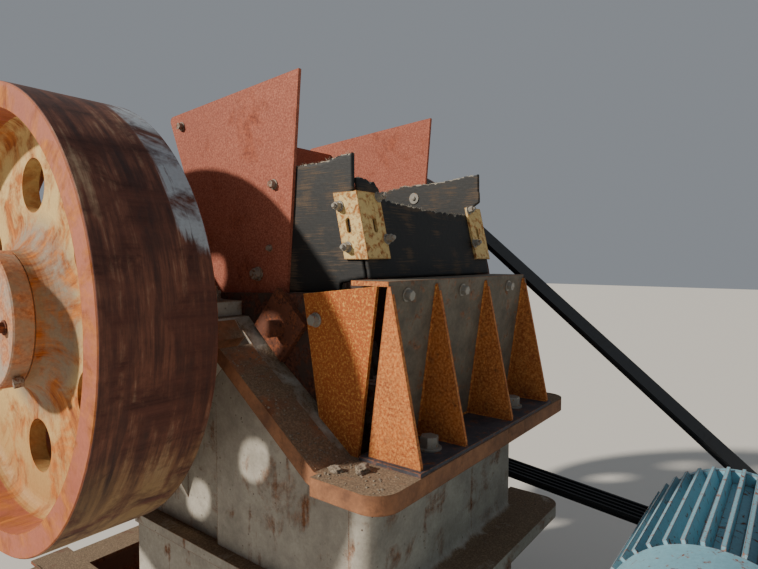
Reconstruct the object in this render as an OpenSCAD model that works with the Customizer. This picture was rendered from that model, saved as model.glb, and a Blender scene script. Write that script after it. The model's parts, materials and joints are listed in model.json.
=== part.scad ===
// Jaw crusher with a feed hopper, belt drive and steel skid.
// Millimetres. X runs along the eccentric shaft, -Y is the feed and
// fixed jaw end, +Z is up. The origin is on the ground, at the centre of
// the skid's anchor holes.

/* [Wheels] */
// outside diameter of the flywheel and of the drive sheave
wheel_d = 1220; // [1000:10:1400]
// face width of each wheel
wheel_w = 282; // [240:2:340]
// gap between the two wheels, measured at their rims
wheel_gap = 1150; // [1120:10:1300]
// radial thickness of the rim
rim_t = 62; // [40:2:90]
// thickness of the web
web_t = 44; // [30:2:60]
// depth of the web's outer face inside the rim
web_inset = 120; // [100:2:150]
// diameter of a hole in the web
web_hole_d = 150; // [80:5:170]
// radius of the circle that the web's holes lie on
web_hole_r = 365; // [340:5:390]
// number of holes in the web
web_holes = 6; // [4:1:8]
// hub diameter
hub_d = 368; // [300:4:400]
// width of a lock ring
ring_w = 51; // [40:1:60]

/* [Shaft] */
// shaft diameter at the wheels
shaft_d = 150; // [120:5:180]
// diameter of the eccentric journal
journal_d = 220; // [200:5:250]
// throw of the eccentric journal
throw = 13; // [8:1:20]
// height of the shaft above the skid
shaft_h = 1070; // [1000:10:1200]

/* [Frame] */
// width between the frame's side walls
frame_in = 700; // [680:10:740]
// thickness of the front part of a side wall
wall_t = 50; // [40:5:70]
// thickness of the recessed rear part of a side wall
rear_wall_t = 24; // [16:2:34]
// outer face of the front wall, ahead of the shaft
front_y = 921; // [880:1:960]
// outer face of the rear wall, behind the shaft
rear_y = 40; // [20:2:60]
// thickness of the front and rear walls
end_t = 60; // [45:5:75]
// depth of the hopper flange's top below the shaft
flange_z = 309; // [290:1:330]
// reach of the hopper flange ahead of the front wall
flange_reach = 137; // [110:1:160]
// thickness of the cast flanges
flange_t = 42; // [30:2:60]
// depth of the belt rib's top below the shaft
rib_z = 680; // [650:5:720]
// radius of the bearing housings
bearing_r = 210; // [190:5:230]

/* [Jaws] */
// width of the feed opening
feed_w = 610; // [580:10:640]
// gape between the jaws at the top
gape = 381; // [340:1:400]
// discharge setting at the bottom
setting = 75; // [40:5:110]
// thickness of a jaw die over its ridges
die_t = 70; // [55:5:80]
// number of ridges on a die
die_ridges = 10; // [8:1:12]
// length of the toggle plate between its seats
toggle_len = 380; // [340:10:400]

/* [Hopper] */
// gap between the frame's inner face and a hopper side plate
hopper_gap = 18; // [14:1:30]
// height of the hopper's front wall
hopper_h = 410; // [360:2:430]
// outward lean of the hopper's front wall, in degrees
hopper_lean = 7.8; // [5:0.2:9]
// thickness of the hopper plates
plate_t = 10; // [8:1:16]
// depth of a gusset at its foot
gusset_d = 145; // [100:5:150]
// open slot between the front wall and a side plate
corner_slot = 33; // [20:1:40]
// height of a wing plate above the cheek plate
wing_h = 596; // [500:4:640]

/* [Liner skirt] */
// thickness of the rubber sheets
rubber_t = 13; // [8:1:16]
// backward lean of the front sheet, in degrees
skirt_lean = 13; // [8:1:16]
// height of the front sheet, measured along its face
skirt_h = 200; // [170:5:230]
// leg of a corner angle on the side sheet
angle_leg = 68; // [50:2:90]
// leg of a corner angle on the front sheet
angle_front = 94; // [60:2:110]
// thickness of a corner angle
angle_t = 8; // [5:1:12]

/* [Drive] */
// width of the banded belt
belt_w = 140; // [112:28:168]
// number of ribs in the belt
belt_ribs = 5; // [3:1:6]
// pitch diameter of the motor sheave
motor_sheave_d = 190; // [160:2:240]
// motor shaft, ahead of the crusher shaft
motor_y = 1574; // [1520:2:1620]
// motor shaft, below the crusher shaft
motor_z = 670; // [640:2:690]
// diameter over the motor's fins
motor_d = 484; // [420:4:500]
// length of the motor's finned frame
motor_len = 525; // [460:5:560]
// depth of a motor fin
fin_h = 46; // [30:2:60]

/* [Skid] */
// depth of the skid beams
beam_h = 200; // [180:10:240]
// flange width of the skid beams
beam_w = 140; // [110:10:170]
// distance between the two long beams, centre to centre
beam_gap = 860; // [820:10:900]
// length of the long beams
beam_len = 2660; // [2600:20:2800]
// diameter of the anchor holes
anchor_d = 26; // [20:2:32]

/* [Hidden] */
$fn = 64;
shaft_y = 570;
shaft_z = beam_h + shaft_h;
side_in = frame_in / 2;
side_out = side_in + wall_t;
feed_x = feed_w / 2;
wheel_r = wheel_d / 2;
wheel_in = wheel_gap / 2;
wheel_out = wheel_in + wheel_w;
flange_y = front_y + flange_reach;
// soft and loose pieces lie this far from what they rest on
seat_gap = 0.3;
// running clearance of the shaft in its bearings and of the wheels on the shaft
bearing_fit = 0.05;
wheel_fit = 0.03;

// which sub-part to draw

// everything above the skid is drawn about the shaft's centre
module at_shaft() { translate([0, shaft_y, shaft_z]) children(); }

// a side view profile, points as [y, z], extruded from x0 to x1
module yz(x0, x1) {
    translate([x0, 0, 0]) rotate([90, 0, 90]) linear_extrude(x1 - x0) children();
}

// a front view profile, points as [x, z], extruded from y0 to y1
module xz(y0, y1) {
    translate([0, y1, 0]) rotate([90, 0, 0]) linear_extrude(y1 - y0) children();
}

// a round bar along X from x0 to x1, its centre at [y, z]
module bar_x(x0, x1, r, at = [0, 0]) { yz(x0, x1) translate(at) circle(r = r); }

// the same shape on the other side
module right(on) { if (on) mirror([1, 0, 0]) children(); else children(); }

module box(x0, x1, y0, y1, z0, z1) { translate([x0, y0, z0]) cube([x1 - x0, y1 - y0, z1 - z0]); }

// points of an ellipse's arc, from angle a0 to a1
function arc(c, rx, ry, a0, a1, n = 8) =
    [for (i = [0 : n]) let (a = a0 + (a1 - a0) * i / n) c + [rx * cos(a), ry * sin(a)]];

// Frame: two side walls, a front end and a rear end

// the walls run from the front wall's back to the rear wall's face
wall_front = -front_y + end_t;
saddle_w = 185;
saddle_half = 440;
saddle_out = side_in + saddle_w;
// top edge of the sloping flange, from the saddle down to the hopper flange
slope_top = [-saddle_half - 80, -72];
slope_foot = [-front_y + 71, -flange_z];
slope_reach = 105;
slope_t = 36;
slope_dir = (slope_top - slope_foot) / norm(slope_top - slope_foot);
slope_in = [slope_dir[1], -slope_dir[0]];
step_y = -350;
panel_t = 30;
foot_t = 40;
foot_reach = 120;
frame_bolt_d = 33;
frame_bolts = [-760, -390, -20];

// outline of a side wall below the shaft
wall_side = [[wall_front, -shaft_h], [wall_front, -flange_z], slope_foot, slope_top, [-saddle_half, 0],
             [saddle_half - 80, 0], [saddle_half - 80, -90], [rear_y, -shaft_h / 2.6], [rear_y, -shaft_h]];

module sloping_flange() {
    inset = slope_in * slope_t;
    tip = slope_top + slope_in * slope_t / 2;
    up = atan2(slope_dir[1], slope_dir[0]);
    yz(-side_out - slope_reach, -side_out + 1) polygon(concat(
        [[wall_front, -flange_z], slope_foot], arc(tip, slope_t / 2, slope_t / 2, up + 90, up - 90, 10),
        [slope_foot + inset + [6, 0], [wall_front, -flange_z - flange_t]]));
}

// a tapered rib under the saddle
module saddle_rib(y) {
    xz(y - 15, y + 15) polygon([[-side_in - rear_wall_t + 1, -230], [-saddle_out + 15, -230],
                                [-saddle_out + 15, -275], [-side_in - rear_wall_t + 1, -600]]);
}

module frame_side() {
    difference() {
        union() {
            // the wall, with its rear part thinner than the front
            difference() {
                yz(-side_out, -side_in) polygon(wall_side);
                yz(-side_out - 1, -side_in - rear_wall_t)
                    polygon([[step_y, -rib_z - 10], [step_y, -260], [saddle_half, -260], [saddle_half, -rib_z - 10]]);
            }
            // the saddle under the bearing, and its ribs
            yz(-saddle_out, -side_out + 1) polygon([[-saddle_half, 0], [-saddle_half - 45, -52], [-260, -270],
                [210, -270], [saddle_half - 80, -90], [saddle_half - 80, 0]]);
            saddle_rib(-150);
            saddle_rib(110);
            sloping_flange();
            // the thicker panel low on the wall, with a lip along its top
            yz(-side_out - panel_t, -side_out + 1)
                polygon([[wall_front, -shaft_h], [wall_front, -rib_z], [rear_y, -rib_z], [rear_y, -shaft_h]]);
            yz(-side_out - panel_t - 12, -side_out - panel_t + 1)
                polygon([[wall_front, -rib_z], [rear_y, -rib_z], [rear_y, -rib_z - 30], [wall_front, -rib_z - 30]]);
            // foot
            box(-side_out - foot_reach, -side_out + 1, wall_front, rear_y + 40, -shaft_h, -shaft_h + foot_t);
        }
        bar_x(-saddle_out - 1, -side_in + 1, bearing_r);
        for (y = frame_bolts) translate([-side_out - 75, y, -shaft_h - 1]) cylinder(d = frame_bolt_d, h = foot_t + 2);
    }
}

module frame_left_side() color("#b9b2a3") at_shaft() frame_side();
module frame_right_side() color("#b9b2a3") at_shaft() right(true) frame_side();

// outline of a flange round the front wall, half width hw and front edge at -fy
module flange_outline(hw, fy, r) {
    difference() {
        union() {
            translate([-hw + r, -fy]) square([2 * (hw - r), r]);
            for (s = [-1, 1]) translate([s * (hw - r), -fy + r]) circle(r = r);
            translate([-hw, -fy + r]) square([2 * hw, fy - r + wall_front]);
        }
        translate([-side_out + 30, -front_y + 30]) square([2 * side_out - 60, end_t]);
    }
}

// the front wall's outline from above, with its round corners
module front_wall_outline(r) {
    translate([-side_out + r, -front_y]) square([2 * (side_out - r), end_t]);
    translate([-side_out, -front_y + r]) square([2 * side_out, end_t - r]);
    for (s = [-1, 1]) intersection() {
        translate([s * (side_out - r), -front_y + r]) circle(r = r);
        translate([-side_out, -front_y]) square([2 * side_out, r + 1]);
    }
}

// a concave fillet where a flange meets the front wall, drawn as a side view
module wall_fillet(z, r, up) {
    s = up ? 1 : -1;
    xr = side_out - 45;
    yz(-xr, xr) difference() {
        translate([-front_y - r, min(z, z + s * r)]) square([r + 1, r]);
        translate([-front_y - r, z + s * r]) circle(r = r);
    }
}

module frame_front_end() color("#b0a898") at_shaft() {
    rib_t = 40;
    rib_hw = side_out + 120;
    box_hw = 128;
    fillet_r = 34;
    difference() {
        union() {
            translate([0, 0, -shaft_h]) linear_extrude(shaft_h - flange_z) front_wall_outline(end_t - 15);
            // hopper flange
            translate([0, 0, -flange_z - flange_t]) linear_extrude(flange_t)
                flange_outline(side_out + 130, flange_y, 60);
            wall_fillet(-flange_z - flange_t, 22, false);
            // belt rib, its fillets and the box that stiffens it from below
            translate([0, 0, -rib_z - rib_t]) linear_extrude(rib_t) flange_outline(rib_hw, front_y + 128, 60);
            wall_fillet(-rib_z, fillet_r, true);
            wall_fillet(-rib_z - rib_t, fillet_r, false);
            box(-box_hw, box_hw, -front_y - 118, -front_y + 10, -shaft_h + foot_t, -rib_z - rib_t);
            // foot
            box(-side_out - foot_reach, side_out + foot_reach, -front_y - 118, wall_front, -shaft_h, -shaft_h + foot_t);
        }
        for (s = [-1, 1]) translate([s * (side_out + 75), -front_y - 50, -shaft_h - 1])
            cylinder(d = frame_bolt_d, h = foot_t + 2);
    }
}

rod_z = -shaft_h + 95;
rear_top = -400;

module frame_rear_end() color("#b0a898") at_shaft() {
    difference() {
        union() {
            box(-side_in, side_in, rear_y - end_t, rear_y, -shaft_h, rear_top);
            // flange along its top
            box(-side_in, side_in, rear_y - end_t, rear_y + 70, rear_top - 35, rear_top);
            for (s = [-1, 1], x = [95, 270]) rear_rib(s * x);
        }
        translate([0, rear_y - end_t - 1, rod_z]) rotate([-90, 0, 0]) cylinder(d = 70, h = end_t + 2);
    }
}
// a tapered rib behind the rear wall
module rear_rib(x) {
    yz(x - 12, x + 12) polygon([[rear_y - 1, rear_top - 20], [rear_y + 65, rear_top - 20],
                                [rear_y + 65, rear_top - 120], [rear_y + 35, -shaft_h], [rear_y - 1, -shaft_h]]);
}

// Crushing chamber: jaw dies, cheek plates, pitman, toggle and tension rod

jaw_top = -150;
jaw_foot = -shaft_h + 140;
ridge_h = 22;
// face of the moving die, top and bottom points
mj_top = [wall_front + die_t + gape, jaw_top];
mj_foot = [wall_front + die_t + setting, jaw_foot];
mj_run = mj_top - mj_foot;
mj_dir = mj_run / norm(mj_run);
mj_in = [mj_dir[1], -mj_dir[0]];

// plan of a die: a flat back and a row of flat-topped ridges
module die_plan() {
    pitch = feed_w / die_ridges;
    low = die_t - ridge_h;
    polygon(concat([[-feed_x, 0]],
        [for (i = [0 : die_ridges - 1]) each [
            [-feed_x + pitch * (i + 0.08), low], [-feed_x + pitch * (i + 0.36), die_t],
            [-feed_x + pitch * (i + 0.64), die_t], [-feed_x + pitch * (i + 0.92), low]]],
        [[feed_x, 0]]));
}

module fixed_jaw_die() color("#6a5a4c") at_shaft()
    translate([0, wall_front, jaw_foot]) linear_extrude(jaw_top - jaw_foot) die_plan();

module moving_jaw_die() color("#6a5a4c") at_shaft()
    translate([0, mj_foot[0], mj_foot[1]]) rotate([-atan2(mj_run[0], mj_run[1]), 0, 0])
        translate([0, die_t, 0]) mirror([0, 1, 0]) linear_extrude(norm(mj_run)) die_plan();

// the toggle's two ends, each a round nose in a seat
nose_r = 24;
seat_front = mj_foot + mj_in * (die_t + 175) + mj_dir * 150;
toggle_rise = 13;
seat_rear = seat_front + toggle_len * [cos(toggle_rise), sin(toggle_rise)];

// the tension rod's eye, its pin and the pitman's lug
rod_eye = seat_front[0] - 40;
eye_r = 34;
eye_w = 50;
pin_r = 14;
lug_x = 80;

module pitman() color("#8a7f70") at_shaft() {
    back_top = mj_top + mj_in * (die_t + seat_gap);
    back_foot = mj_foot + mj_in * (die_t + seat_gap);
    barrel_r = 205;
    plate = 62;
    hw = feed_x - 10;
    difference() {
        union() {
            // front plate and the body behind it
            yz(-hw, hw) polygon([back_foot - mj_dir * 8, back_top, [-165, 150], [150, 140], [105, -200],
                seat_front + [nose_r + 22, 60], seat_front + [14, -38], back_foot + mj_in * 90 - mj_dir * 8]);
            bar_x(-hw, hw, barrel_r);
            // lug at its foot
            yz(-lug_x, lug_x) polygon([back_foot + mj_in * 30, seat_front + [10, -30], [rod_eye + 36, rod_z - 8],
                [rod_eye + 22, rod_z - 34], [rod_eye - 22, rod_z - 34], back_foot + mj_in * 60 - mj_dir * 8]);
        }
        // pockets between the ribs at its back
        for (s = [-1, 1]) yz(s * hw / 2 - hw / 2 + 45, s * hw / 2 + hw / 2 - 45)
            polygon([back_foot + mj_in * plate + mj_dir * 260, back_top + mj_in * plate - mj_dir * 120, [-60, -235],
                     [200, -235], [60, -500], seat_front + [120, 150], seat_front + [-10, 110]]);
        bar_x(-feed_x, feed_x, journal_d / 2 + throw + 6);
        bar_x(-feed_x, feed_x, nose_r + seat_gap, seat_front);
        translate([0, seat_front[0], seat_front[1]]) rotate([toggle_rise, 0, 0])
            box(-feed_x, feed_x, 0, 90, -nose_r - seat_gap, nose_r + seat_gap);
        // slot and pin hole for the tension rod's eye
        box(-eye_w / 2 - 4, eye_w / 2 + 4, rod_eye - 55, rod_eye + 120, rod_z - 90, rod_z + eye_r + 6);
        bar_x(-lug_x - 1, lug_x + 1, pin_r + seat_gap, [rod_eye, rod_z]);
    }
}

module toggle_plate() color("#7a6a5a") at_shaft() {
    hw = feed_x - 30;
    up = [-sin(toggle_rise), cos(toggle_rise)];
    yz(-hw, hw) polygon([seat_front - up * 19, seat_rear - up * 19, seat_rear + up * 19, seat_front + up * 19]);
    bar_x(-hw, hw, nose_r, seat_front);
    bar_x(-hw, hw, nose_r, seat_rear);
}

// the block behind the toggle, against the rear wall
module toggle_block() color("#7a6a5a") at_shaft() difference() {
    box(-feed_x + 20, feed_x - 20, seat_rear[0] - 8, rear_y - end_t, seat_rear[1] - 80, seat_rear[1] + 80);
    bar_x(-feed_x, feed_x, nose_r + seat_gap, seat_rear);
}

spring_d = 100;
spring_wire = 18;
spring_len = 200;
spring_turns = 6;
rod_d = 36;
spring_y = rear_y + 12;
module tension_rod() color("#6f665c") at_shaft() {
    translate([0, rod_eye, rod_z]) rotate([-90, 0, 0]) cylinder(d = rod_d, h = spring_y + spring_len + 75 - rod_eye);
    // eye and pin at the pitman's end
    bar_x(-eye_w / 2, eye_w / 2, eye_r, [rod_eye, rod_z]);
    bar_x(-lug_x - 6, lug_x + 6, pin_r, [rod_eye, rod_z]);
    // spring plates and the nut
    for (y = [rear_y, spring_y + spring_len]) translate([0, y, rod_z]) rotate([-90, 0, 0])
        cylinder(d = spring_d + 16, h = spring_y - rear_y);
    translate([0, spring_y + spring_len + 12, rod_z]) rotate([-90, 0, 0]) cylinder(d = 58, h = 30, $fn = 6);
}

// height along the rod of the wire's centre after t turns: the end turns lie flat
coil_r = spring_wire / 2;
function coil_rise(t) = coil_r + seat_gap
    + (spring_len - 2 * (coil_r + seat_gap)) * min(1, max(0, (t - 0.5) / (spring_turns - 1)));

// a coil swept round the rod
module tension_spring() color("#5c5750") at_shaft() {
    r = spring_d / 2 - coil_r;
    steps = 20;
    sides = 8;
    last = spring_turns * steps;
    pts = [for (i = [0 : last], k = [0 : sides - 1]) let (a = i * 360 / steps, b = k * 360 / sides)
        [(r + coil_r * cos(b)) * cos(a), coil_rise(i / steps) + coil_r * sin(b), (r + coil_r * cos(b)) * sin(a)]];
    faces = concat(
        [[for (k = [0 : sides - 1]) k]],
        [for (i = [0 : last - 1], k = [0 : sides - 1]) let (n = (k + 1) % sides, a = i * sides, b = a + sides)
            each [[a + k, b + k, b + n], [a + k, b + n, a + n]]],
        [[for (k = [sides - 1 : -1 : 0]) last * sides + k]]);
    translate([0, spring_y, rod_z]) polyhedron(pts, faces, 4);
}

// top edge of a cheek plate, which the wing plate stands on
hop_top = -flange_z + hopper_h;
function cheek_top(y) = hop_top - 27 - (y + 700) / 30;

// cheek plates line the chamber's sides and stand above the sloping flange
cheek_rear = -262;
module cheek() {
    yz(-side_in, -feed_x - 2) polygon([[wall_front, jaw_foot + 50], [wall_front, -flange_z + 10], [-700, cheek_top(-700)],
        [cheek_rear, cheek_top(cheek_rear)], [cheek_rear + 22, -220], mj_foot + mj_in * 100 + [40, 60]]);
}
module left_cheek_plate() color("#4c3c34") at_shaft() cheek();
module right_cheek_plate() color("#4c3c34") at_shaft() right(true) cheek();

// the diamond-shaped clamp that holds a cheek plate
clamp_c = slope_top + [-63, 58];
clamp_side = 142;
clamp_t = plate_t + 6;
module cheek_clamp() {
    translate([-side_in - clamp_t, clamp_c[0], clamp_c[1]]) rotate([41, 0, 0])
        translate([0, -clamp_side / 2, -clamp_side / 2]) cube([clamp_t, clamp_side, clamp_side]);
    bar_x(-side_in - clamp_t - 34, -side_in - clamp_t + 1, 23, clamp_c + [0, -8]);
}
module left_cheek_clamp() color("#5a2f22") at_shaft() cheek_clamp();
module right_cheek_clamp() color("#5a2f22") at_shaft() right(true) cheek_clamp();

module bearing_cap() {
    cap_out = side_in + saddle_w - 10;
    cap_in = side_in - 10;
    dome_r = bearing_r + 45;
    ear_t = 42;
    difference() {
        union() {
            bar_x(-cap_out, -cap_in, bearing_r - seat_gap);
            yz(-cap_out + 20, -side_in) difference() {
                union() {
                    circle(r = dome_r);
                    translate([-saddle_half + 30, seat_gap]) square([2 * saddle_half - 100, ear_t]);
                }
                translate([-2 * dome_r, -4 * dome_r + seat_gap]) square([4 * dome_r, 4 * dome_r]);
            }
            // end cover with its raised ring
            bar_x(-cap_out - 14, -cap_out + 1, bearing_r - 30);
        }
        bar_x(-cap_out - 20, -cap_in + 1, shaft_d / 2 + bearing_fit);
    }
}
module left_bearing_cap() color("#8d8578") at_shaft() bearing_cap();
module right_bearing_cap() color("#8d8578") at_shaft() right(true) bearing_cap();

// Hopper: bolted front wall with gussets, side plates and wing plates

hop_x = side_in + hopper_gap + plate_t;
base_t = 10;
hop_floor = -flange_z + base_t;
hop_root = -front_y + 18;
hop_run = hopper_h * tan(hopper_lean);
ledge_t = 12;
ledge_top = hop_top + ledge_t;
// the front wall's outer face at height z
function hop_face(z) = hop_root - (z + flange_z) * tan(hopper_lean);

module hopper_front_wall() color("#8a4a2a") at_shaft() {
    // base plate
    box(-hop_x - 12, hop_x + 12, -flange_y + 2, hop_root + 20, -flange_z, hop_floor);
    // leaning wall between the two end gussets
    yz(-hop_x + plate_t - 1, hop_x - plate_t + 1) polygon([[hop_face(hop_floor) + plate_t, hop_floor - 1], [hop_face(hop_floor), hop_floor - 1],
        [hop_face(hop_top), hop_top + 1], [hop_face(hop_top) + plate_t, hop_top + 1]]);
    // ledge under the rubber
    box(-hop_x, hop_x, hop_face(hop_top), hop_face(hop_top) + 110, hop_top, ledge_top);
    // gussets, clear of the bolts between them
    for (x = [-hop_x, -hop_x * 0.45 - plate_t / 2, hop_x * 0.27 - plate_t / 2, hop_x - plate_t])
        yz(x, x + plate_t) polygon([[hop_face(hop_floor) + 2, hop_floor - 1], [hop_root - gusset_d, hop_floor - 1],
            [hop_root - gusset_d, hop_floor + 10], [hop_face(hop_top) - 6, hop_top + 1], [hop_face(hop_top) + 2, hop_top + 1]]);
}

module hopper_side() {
    // its lower edge stands on the sloping flange, its front edge leaves a slot behind the wall
    function on_slope(y) = [y, slope_foot[1] + (y - slope_foot[0]) * slope_dir[1] / slope_dir[0] + seat_gap];
    front = corner_slot - plate_t;
    yz(-hop_x, -hop_x + plate_t) polygon([[hop_face(hop_top) + plate_t + front, hop_top],
        [hop_face(-flange_z) + plate_t + front, -flange_z + seat_gap], [slope_foot[0], -flange_z + seat_gap],
        on_slope(-743), [-690, hop_top - 26]]);
}
module hopper_left_side() color("#9a4f28") at_shaft() hopper_side();
module hopper_right_side() color("#9a4f28") at_shaft() right(true) hopper_side();

wing_x = feed_x + rubber_t + 1;
// a wing plate: upright front edge, raked top with rounded corner, raked rear edge
module wing() {
    foot_y = -576;
    top_z = cheek_top(foot_y) + wing_h;
    r = 14;
    yz(-wing_x - plate_t, -wing_x) polygon(concat(
        [[foot_y, cheek_top(foot_y) + seat_gap], [foot_y - 50, top_z]],
        arc([-24 - r, top_z - 38 - r], r, r, 85, -22, 6),
        [[cheek_rear, cheek_top(cheek_rear) + seat_gap]]));
}
module left_wing_plate() color("#8f4634") at_shaft() wing();
module right_wing_plate() color("#8f4634") at_shaft() right(true) wing();

// plate across the back of the hopper, between the wings
module hopper_rear_plate() color("#5e3a30") at_shaft()
    box(-wing_x, wing_x, -145, -145 + plate_t, 245, cheek_top(-145) + wing_h - 62);

// Rubber skirt and its corner angles

skirt_foot = ledge_top + seat_gap + rubber_t * sin(skirt_lean);
skirt_dir = [sin(skirt_lean), cos(skirt_lean)];
// outer face of the front sheet, foot and top
skirt_y = -front_y + 58;
sheet_low = [skirt_y, skirt_foot];
function up_face(h) = sheet_low + skirt_dir * h;

// side sheet: its rear end stands on the cheek plate and its top edge is torn off in steps
sheet_rear = -420;
module side_sheet(far) {
    top = far ? ledge_top + 338 : ledge_top + 319;
    front = far ? -24 : 0;
    yz(-wing_x, -wing_x + rubber_t) polygon([[sheet_rear, cheek_top(sheet_rear) + 1], [sheet_rear, top - 33], [sheet_rear - 100, top - 17], [-679, top - 17],
        [up_face(skirt_h)[0] + 18 + front, top], [up_face(skirt_h)[0] + 14 + front, top - 98],
        up_face(skirt_h + 22) + [18, 0], up_face(0) + [18, 0], [-760, ledge_top - 12], [-760, cheek_top(-760) + 1]]);
}
module left_rubber_skirt() color("#3a3b3d") at_shaft() side_sheet(false);
module right_rubber_skirt() color("#3a3b3d") at_shaft() right(true) side_sheet(true);

// front sheet: it leans back, and its torn top edge drops towards the far side
module front_rubber_skirt() color("#3a3b3d") at_shaft()
    translate([0, sheet_low[0], sheet_low[1]]) rotate([90 - skirt_lean, 0, 0]) mirror([0, 0, 1])
        linear_extrude(rubber_t) polygon([[-wing_x, 0], [-wing_x, skirt_h + 12],
            [-wing_x + rubber_t + 1, skirt_h + 12], [-wing_x + rubber_t + 1, skirt_h + 64], [-232, skirt_h + 56], [-206, skirt_h + 15],
            [-145, skirt_h + 5], [0, skirt_h - 3], [wing_x, skirt_h - 5], [wing_x, 0]]);

// an elongated hole, its centre at the origin
module slot(w, len) {
    square([w, len - w], center = true);
    for (s = [-1, 1]) translate([0, s * (len - w) / 2]) circle(d = w);
}

// an angle down the skirt's corner, outside both sheets, with a slot in each leg
module corner_angle() {
    lo = 48;
    h = 172;
    mid = up_face(lo + h / 2) + [angle_leg * 0.52, 0];
    yz(-wing_x - seat_gap - angle_t, -wing_x - seat_gap) difference() {
        polygon([up_face(lo) - [angle_t, 0], up_face(lo) + [angle_leg, 0],
                 up_face(lo + h) + [angle_leg, 0], up_face(lo + h) - [angle_t, 0]]);
        translate(mid) rotate(-skirt_lean) slot(14, 38);
    }
    translate([0, sheet_low[0], sheet_low[1]]) rotate([90 - skirt_lean, 0, 0]) translate([-wing_x - seat_gap - angle_t, lo, seat_gap])
        linear_extrude(angle_t) difference() {
            square([angle_front, h]);
            translate([angle_front * 0.56, h / 2]) slot(14, 38);
        }
}
module left_corner_angle() color("#c9a25f") at_shaft() corner_angle();
module right_corner_angle() color("#c9a25f") at_shaft() right(true) corner_angle();

// Rotor: eccentric shaft, flywheel, drive sheave and their lock rings

// a wheel about its axis, its outer face at z = 0 and its hub set in behind the lock ring
module wheel_profile() {
    hub = hub_d / 2;
    rim_in = wheel_r - rim_t;
    web_back = web_inset + web_t;
    hub_lip = 11;
    flare = 96;
    fillet = 36;
    polygon(concat(
        [[shaft_d / 2 + wheel_fit, ring_w], [hub, ring_w]],
        arc([hub + flare, ring_w + hub_lip], flare, web_inset - ring_w - hub_lip, 180, 90, 10),
        arc([rim_in - fillet, web_inset - fillet], fillet, fillet, 90, 0, 6),
        [[rim_in, 0], [wheel_r - 4, 0], [wheel_r, 4], [wheel_r, wheel_w - 4], [wheel_r - 4, wheel_w], [rim_in, wheel_w]],
        arc([rim_in - fillet, web_back + fillet], fillet, fillet, 0, -90, 6),
        arc([hub + 60, web_back + 44], 60, 44, -90, -180, 6),
        [[hub, wheel_w - 37], [hub - 10, wheel_w - 27], [shaft_d / 2 + wheel_fit, wheel_w - 27]]));
}

module wheel() {
    difference() {
        rotate_extrude($fn = 96) wheel_profile();
        for (i = [0 : web_holes - 1]) rotate(i * 360 / web_holes) translate([web_hole_r, 0, web_inset - 20])
            cylinder(d = web_hole_d, h = web_t + 40);
    }
}

module flywheel() color("#8c5a48") at_shaft()
    translate([-wheel_out, 0, 0]) rotate([0, 90, 0]) wheel();

belt_inset = 61;
groove_pitch = belt_w / belt_ribs;
groove_depth = 22;
// the V grooves of a sheave of rim radius r
module groove_cutter(r) {
    rotate_extrude($fn = 96) for (i = [0 : belt_ribs - 1]) translate([r, (i + 0.5) * groove_pitch])
        polygon([[1, -10.5], [1, 10.5], [-groove_depth, 6], [-groove_depth, -6]]);
}
module drive_sheave() color("#8c5a48") at_shaft()
    translate([wheel_out, 0, 0]) rotate([0, -90, 0]) difference() {
        wheel();
        translate([0, 0, belt_inset]) groove_cutter(wheel_r);
    }

module lock_ring() {
    ring_r = hub_d / 2;
    rotate([0, 90, 0]) rotate_extrude() polygon([[shaft_d / 2 + wheel_fit, 0], [ring_r - 4, 0], [ring_r, 4],
        [ring_r, ring_w - 4], [ring_r - 4, ring_w], [shaft_d / 2 + wheel_fit, ring_w]]);
}
module flywheel_lock_ring() color("#9c4a22") at_shaft() translate([-wheel_out, 0, 0]) lock_ring();
module sheave_lock_ring() color("#9c4a22") at_shaft() right(true) translate([-wheel_out, 0, 0]) lock_ring();

module eccentric_shaft() color("#777068") at_shaft() {
    bar_x(-wheel_out - 6, wheel_out + 6, shaft_d / 2);
    bar_x(-feed_x + 5, feed_x - 5, journal_d / 2, [0, throw]);
}

// Drive: belt, motor and motor sheave

sheave_r = motor_sheave_d / 2 + 15;
belt_x0 = wheel_out - belt_inset - belt_w;
belt_band = 6;
// the band stays clear of the rims between the corners of its facets
belt_lift = 0.6;
motor_dist = norm([motor_y, motor_z]);
motor_ang = atan2(-motor_z, -motor_y);
motor_at = [-motor_y, -motor_z];

// the ribbed section: [out from the rim, along the shaft]
belt_section = concat(
    [[belt_lift + belt_band, 0], [belt_lift + belt_band, belt_w], [belt_lift, belt_w]],
    [for (i = [belt_ribs - 1 : -1 : 0]) let (c = (i + 0.5) * groove_pitch)
        each [[belt_lift, c + 8], [-14, c + 5], [-14, c - 5], [belt_lift, c - 8]]],
    [[belt_lift, 0]]);

// the section swept once round both sheaves, straight between them
module drive_belt() color("#1d1d20") at_shaft() {
    wrap = acos((wheel_r - sheave_r) / motor_dist);
    big = 60;
    small = 16;
    // stations: [centre, rim radius, direction]
    stations = concat(
        [for (i = [0 : big]) [[0, 0], wheel_r, motor_ang + wrap + (360 - 2 * wrap) * i / big]],
        [for (i = [0 : small]) [motor_at, sheave_r, motor_ang - wrap + 2 * wrap * i / small]]);
    n = len(stations);
    m = len(belt_section);
    pts = [for (s = stations, p = belt_section)
        [belt_x0 + p[1], s[0][0] + (s[1] + p[0]) * cos(s[2]), s[0][1] + (s[1] + p[0]) * sin(s[2])]];
    faces = [for (i = [0 : n - 1], k = [0 : m - 1]) let (a = i * m, b = ((i + 1) % n) * m, j = (k + 1) % m)
        [a + k, a + j, b + j, b + k]];
    polyhedron(pts, faces, 4);
}

motor_shaft_d = 60;
module motor_sheave() color("#5d5650") at_shaft()
    translate([belt_x0 - 8, -motor_y, -motor_z]) rotate([0, 90, 0]) difference() {
        cylinder(r = sheave_r, h = belt_w + 16);
        translate([0, 0, -1]) cylinder(d = motor_shaft_d, h = belt_w + 20);
        translate([0, 0, 8]) groove_cutter(sheave_r);
    }

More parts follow.
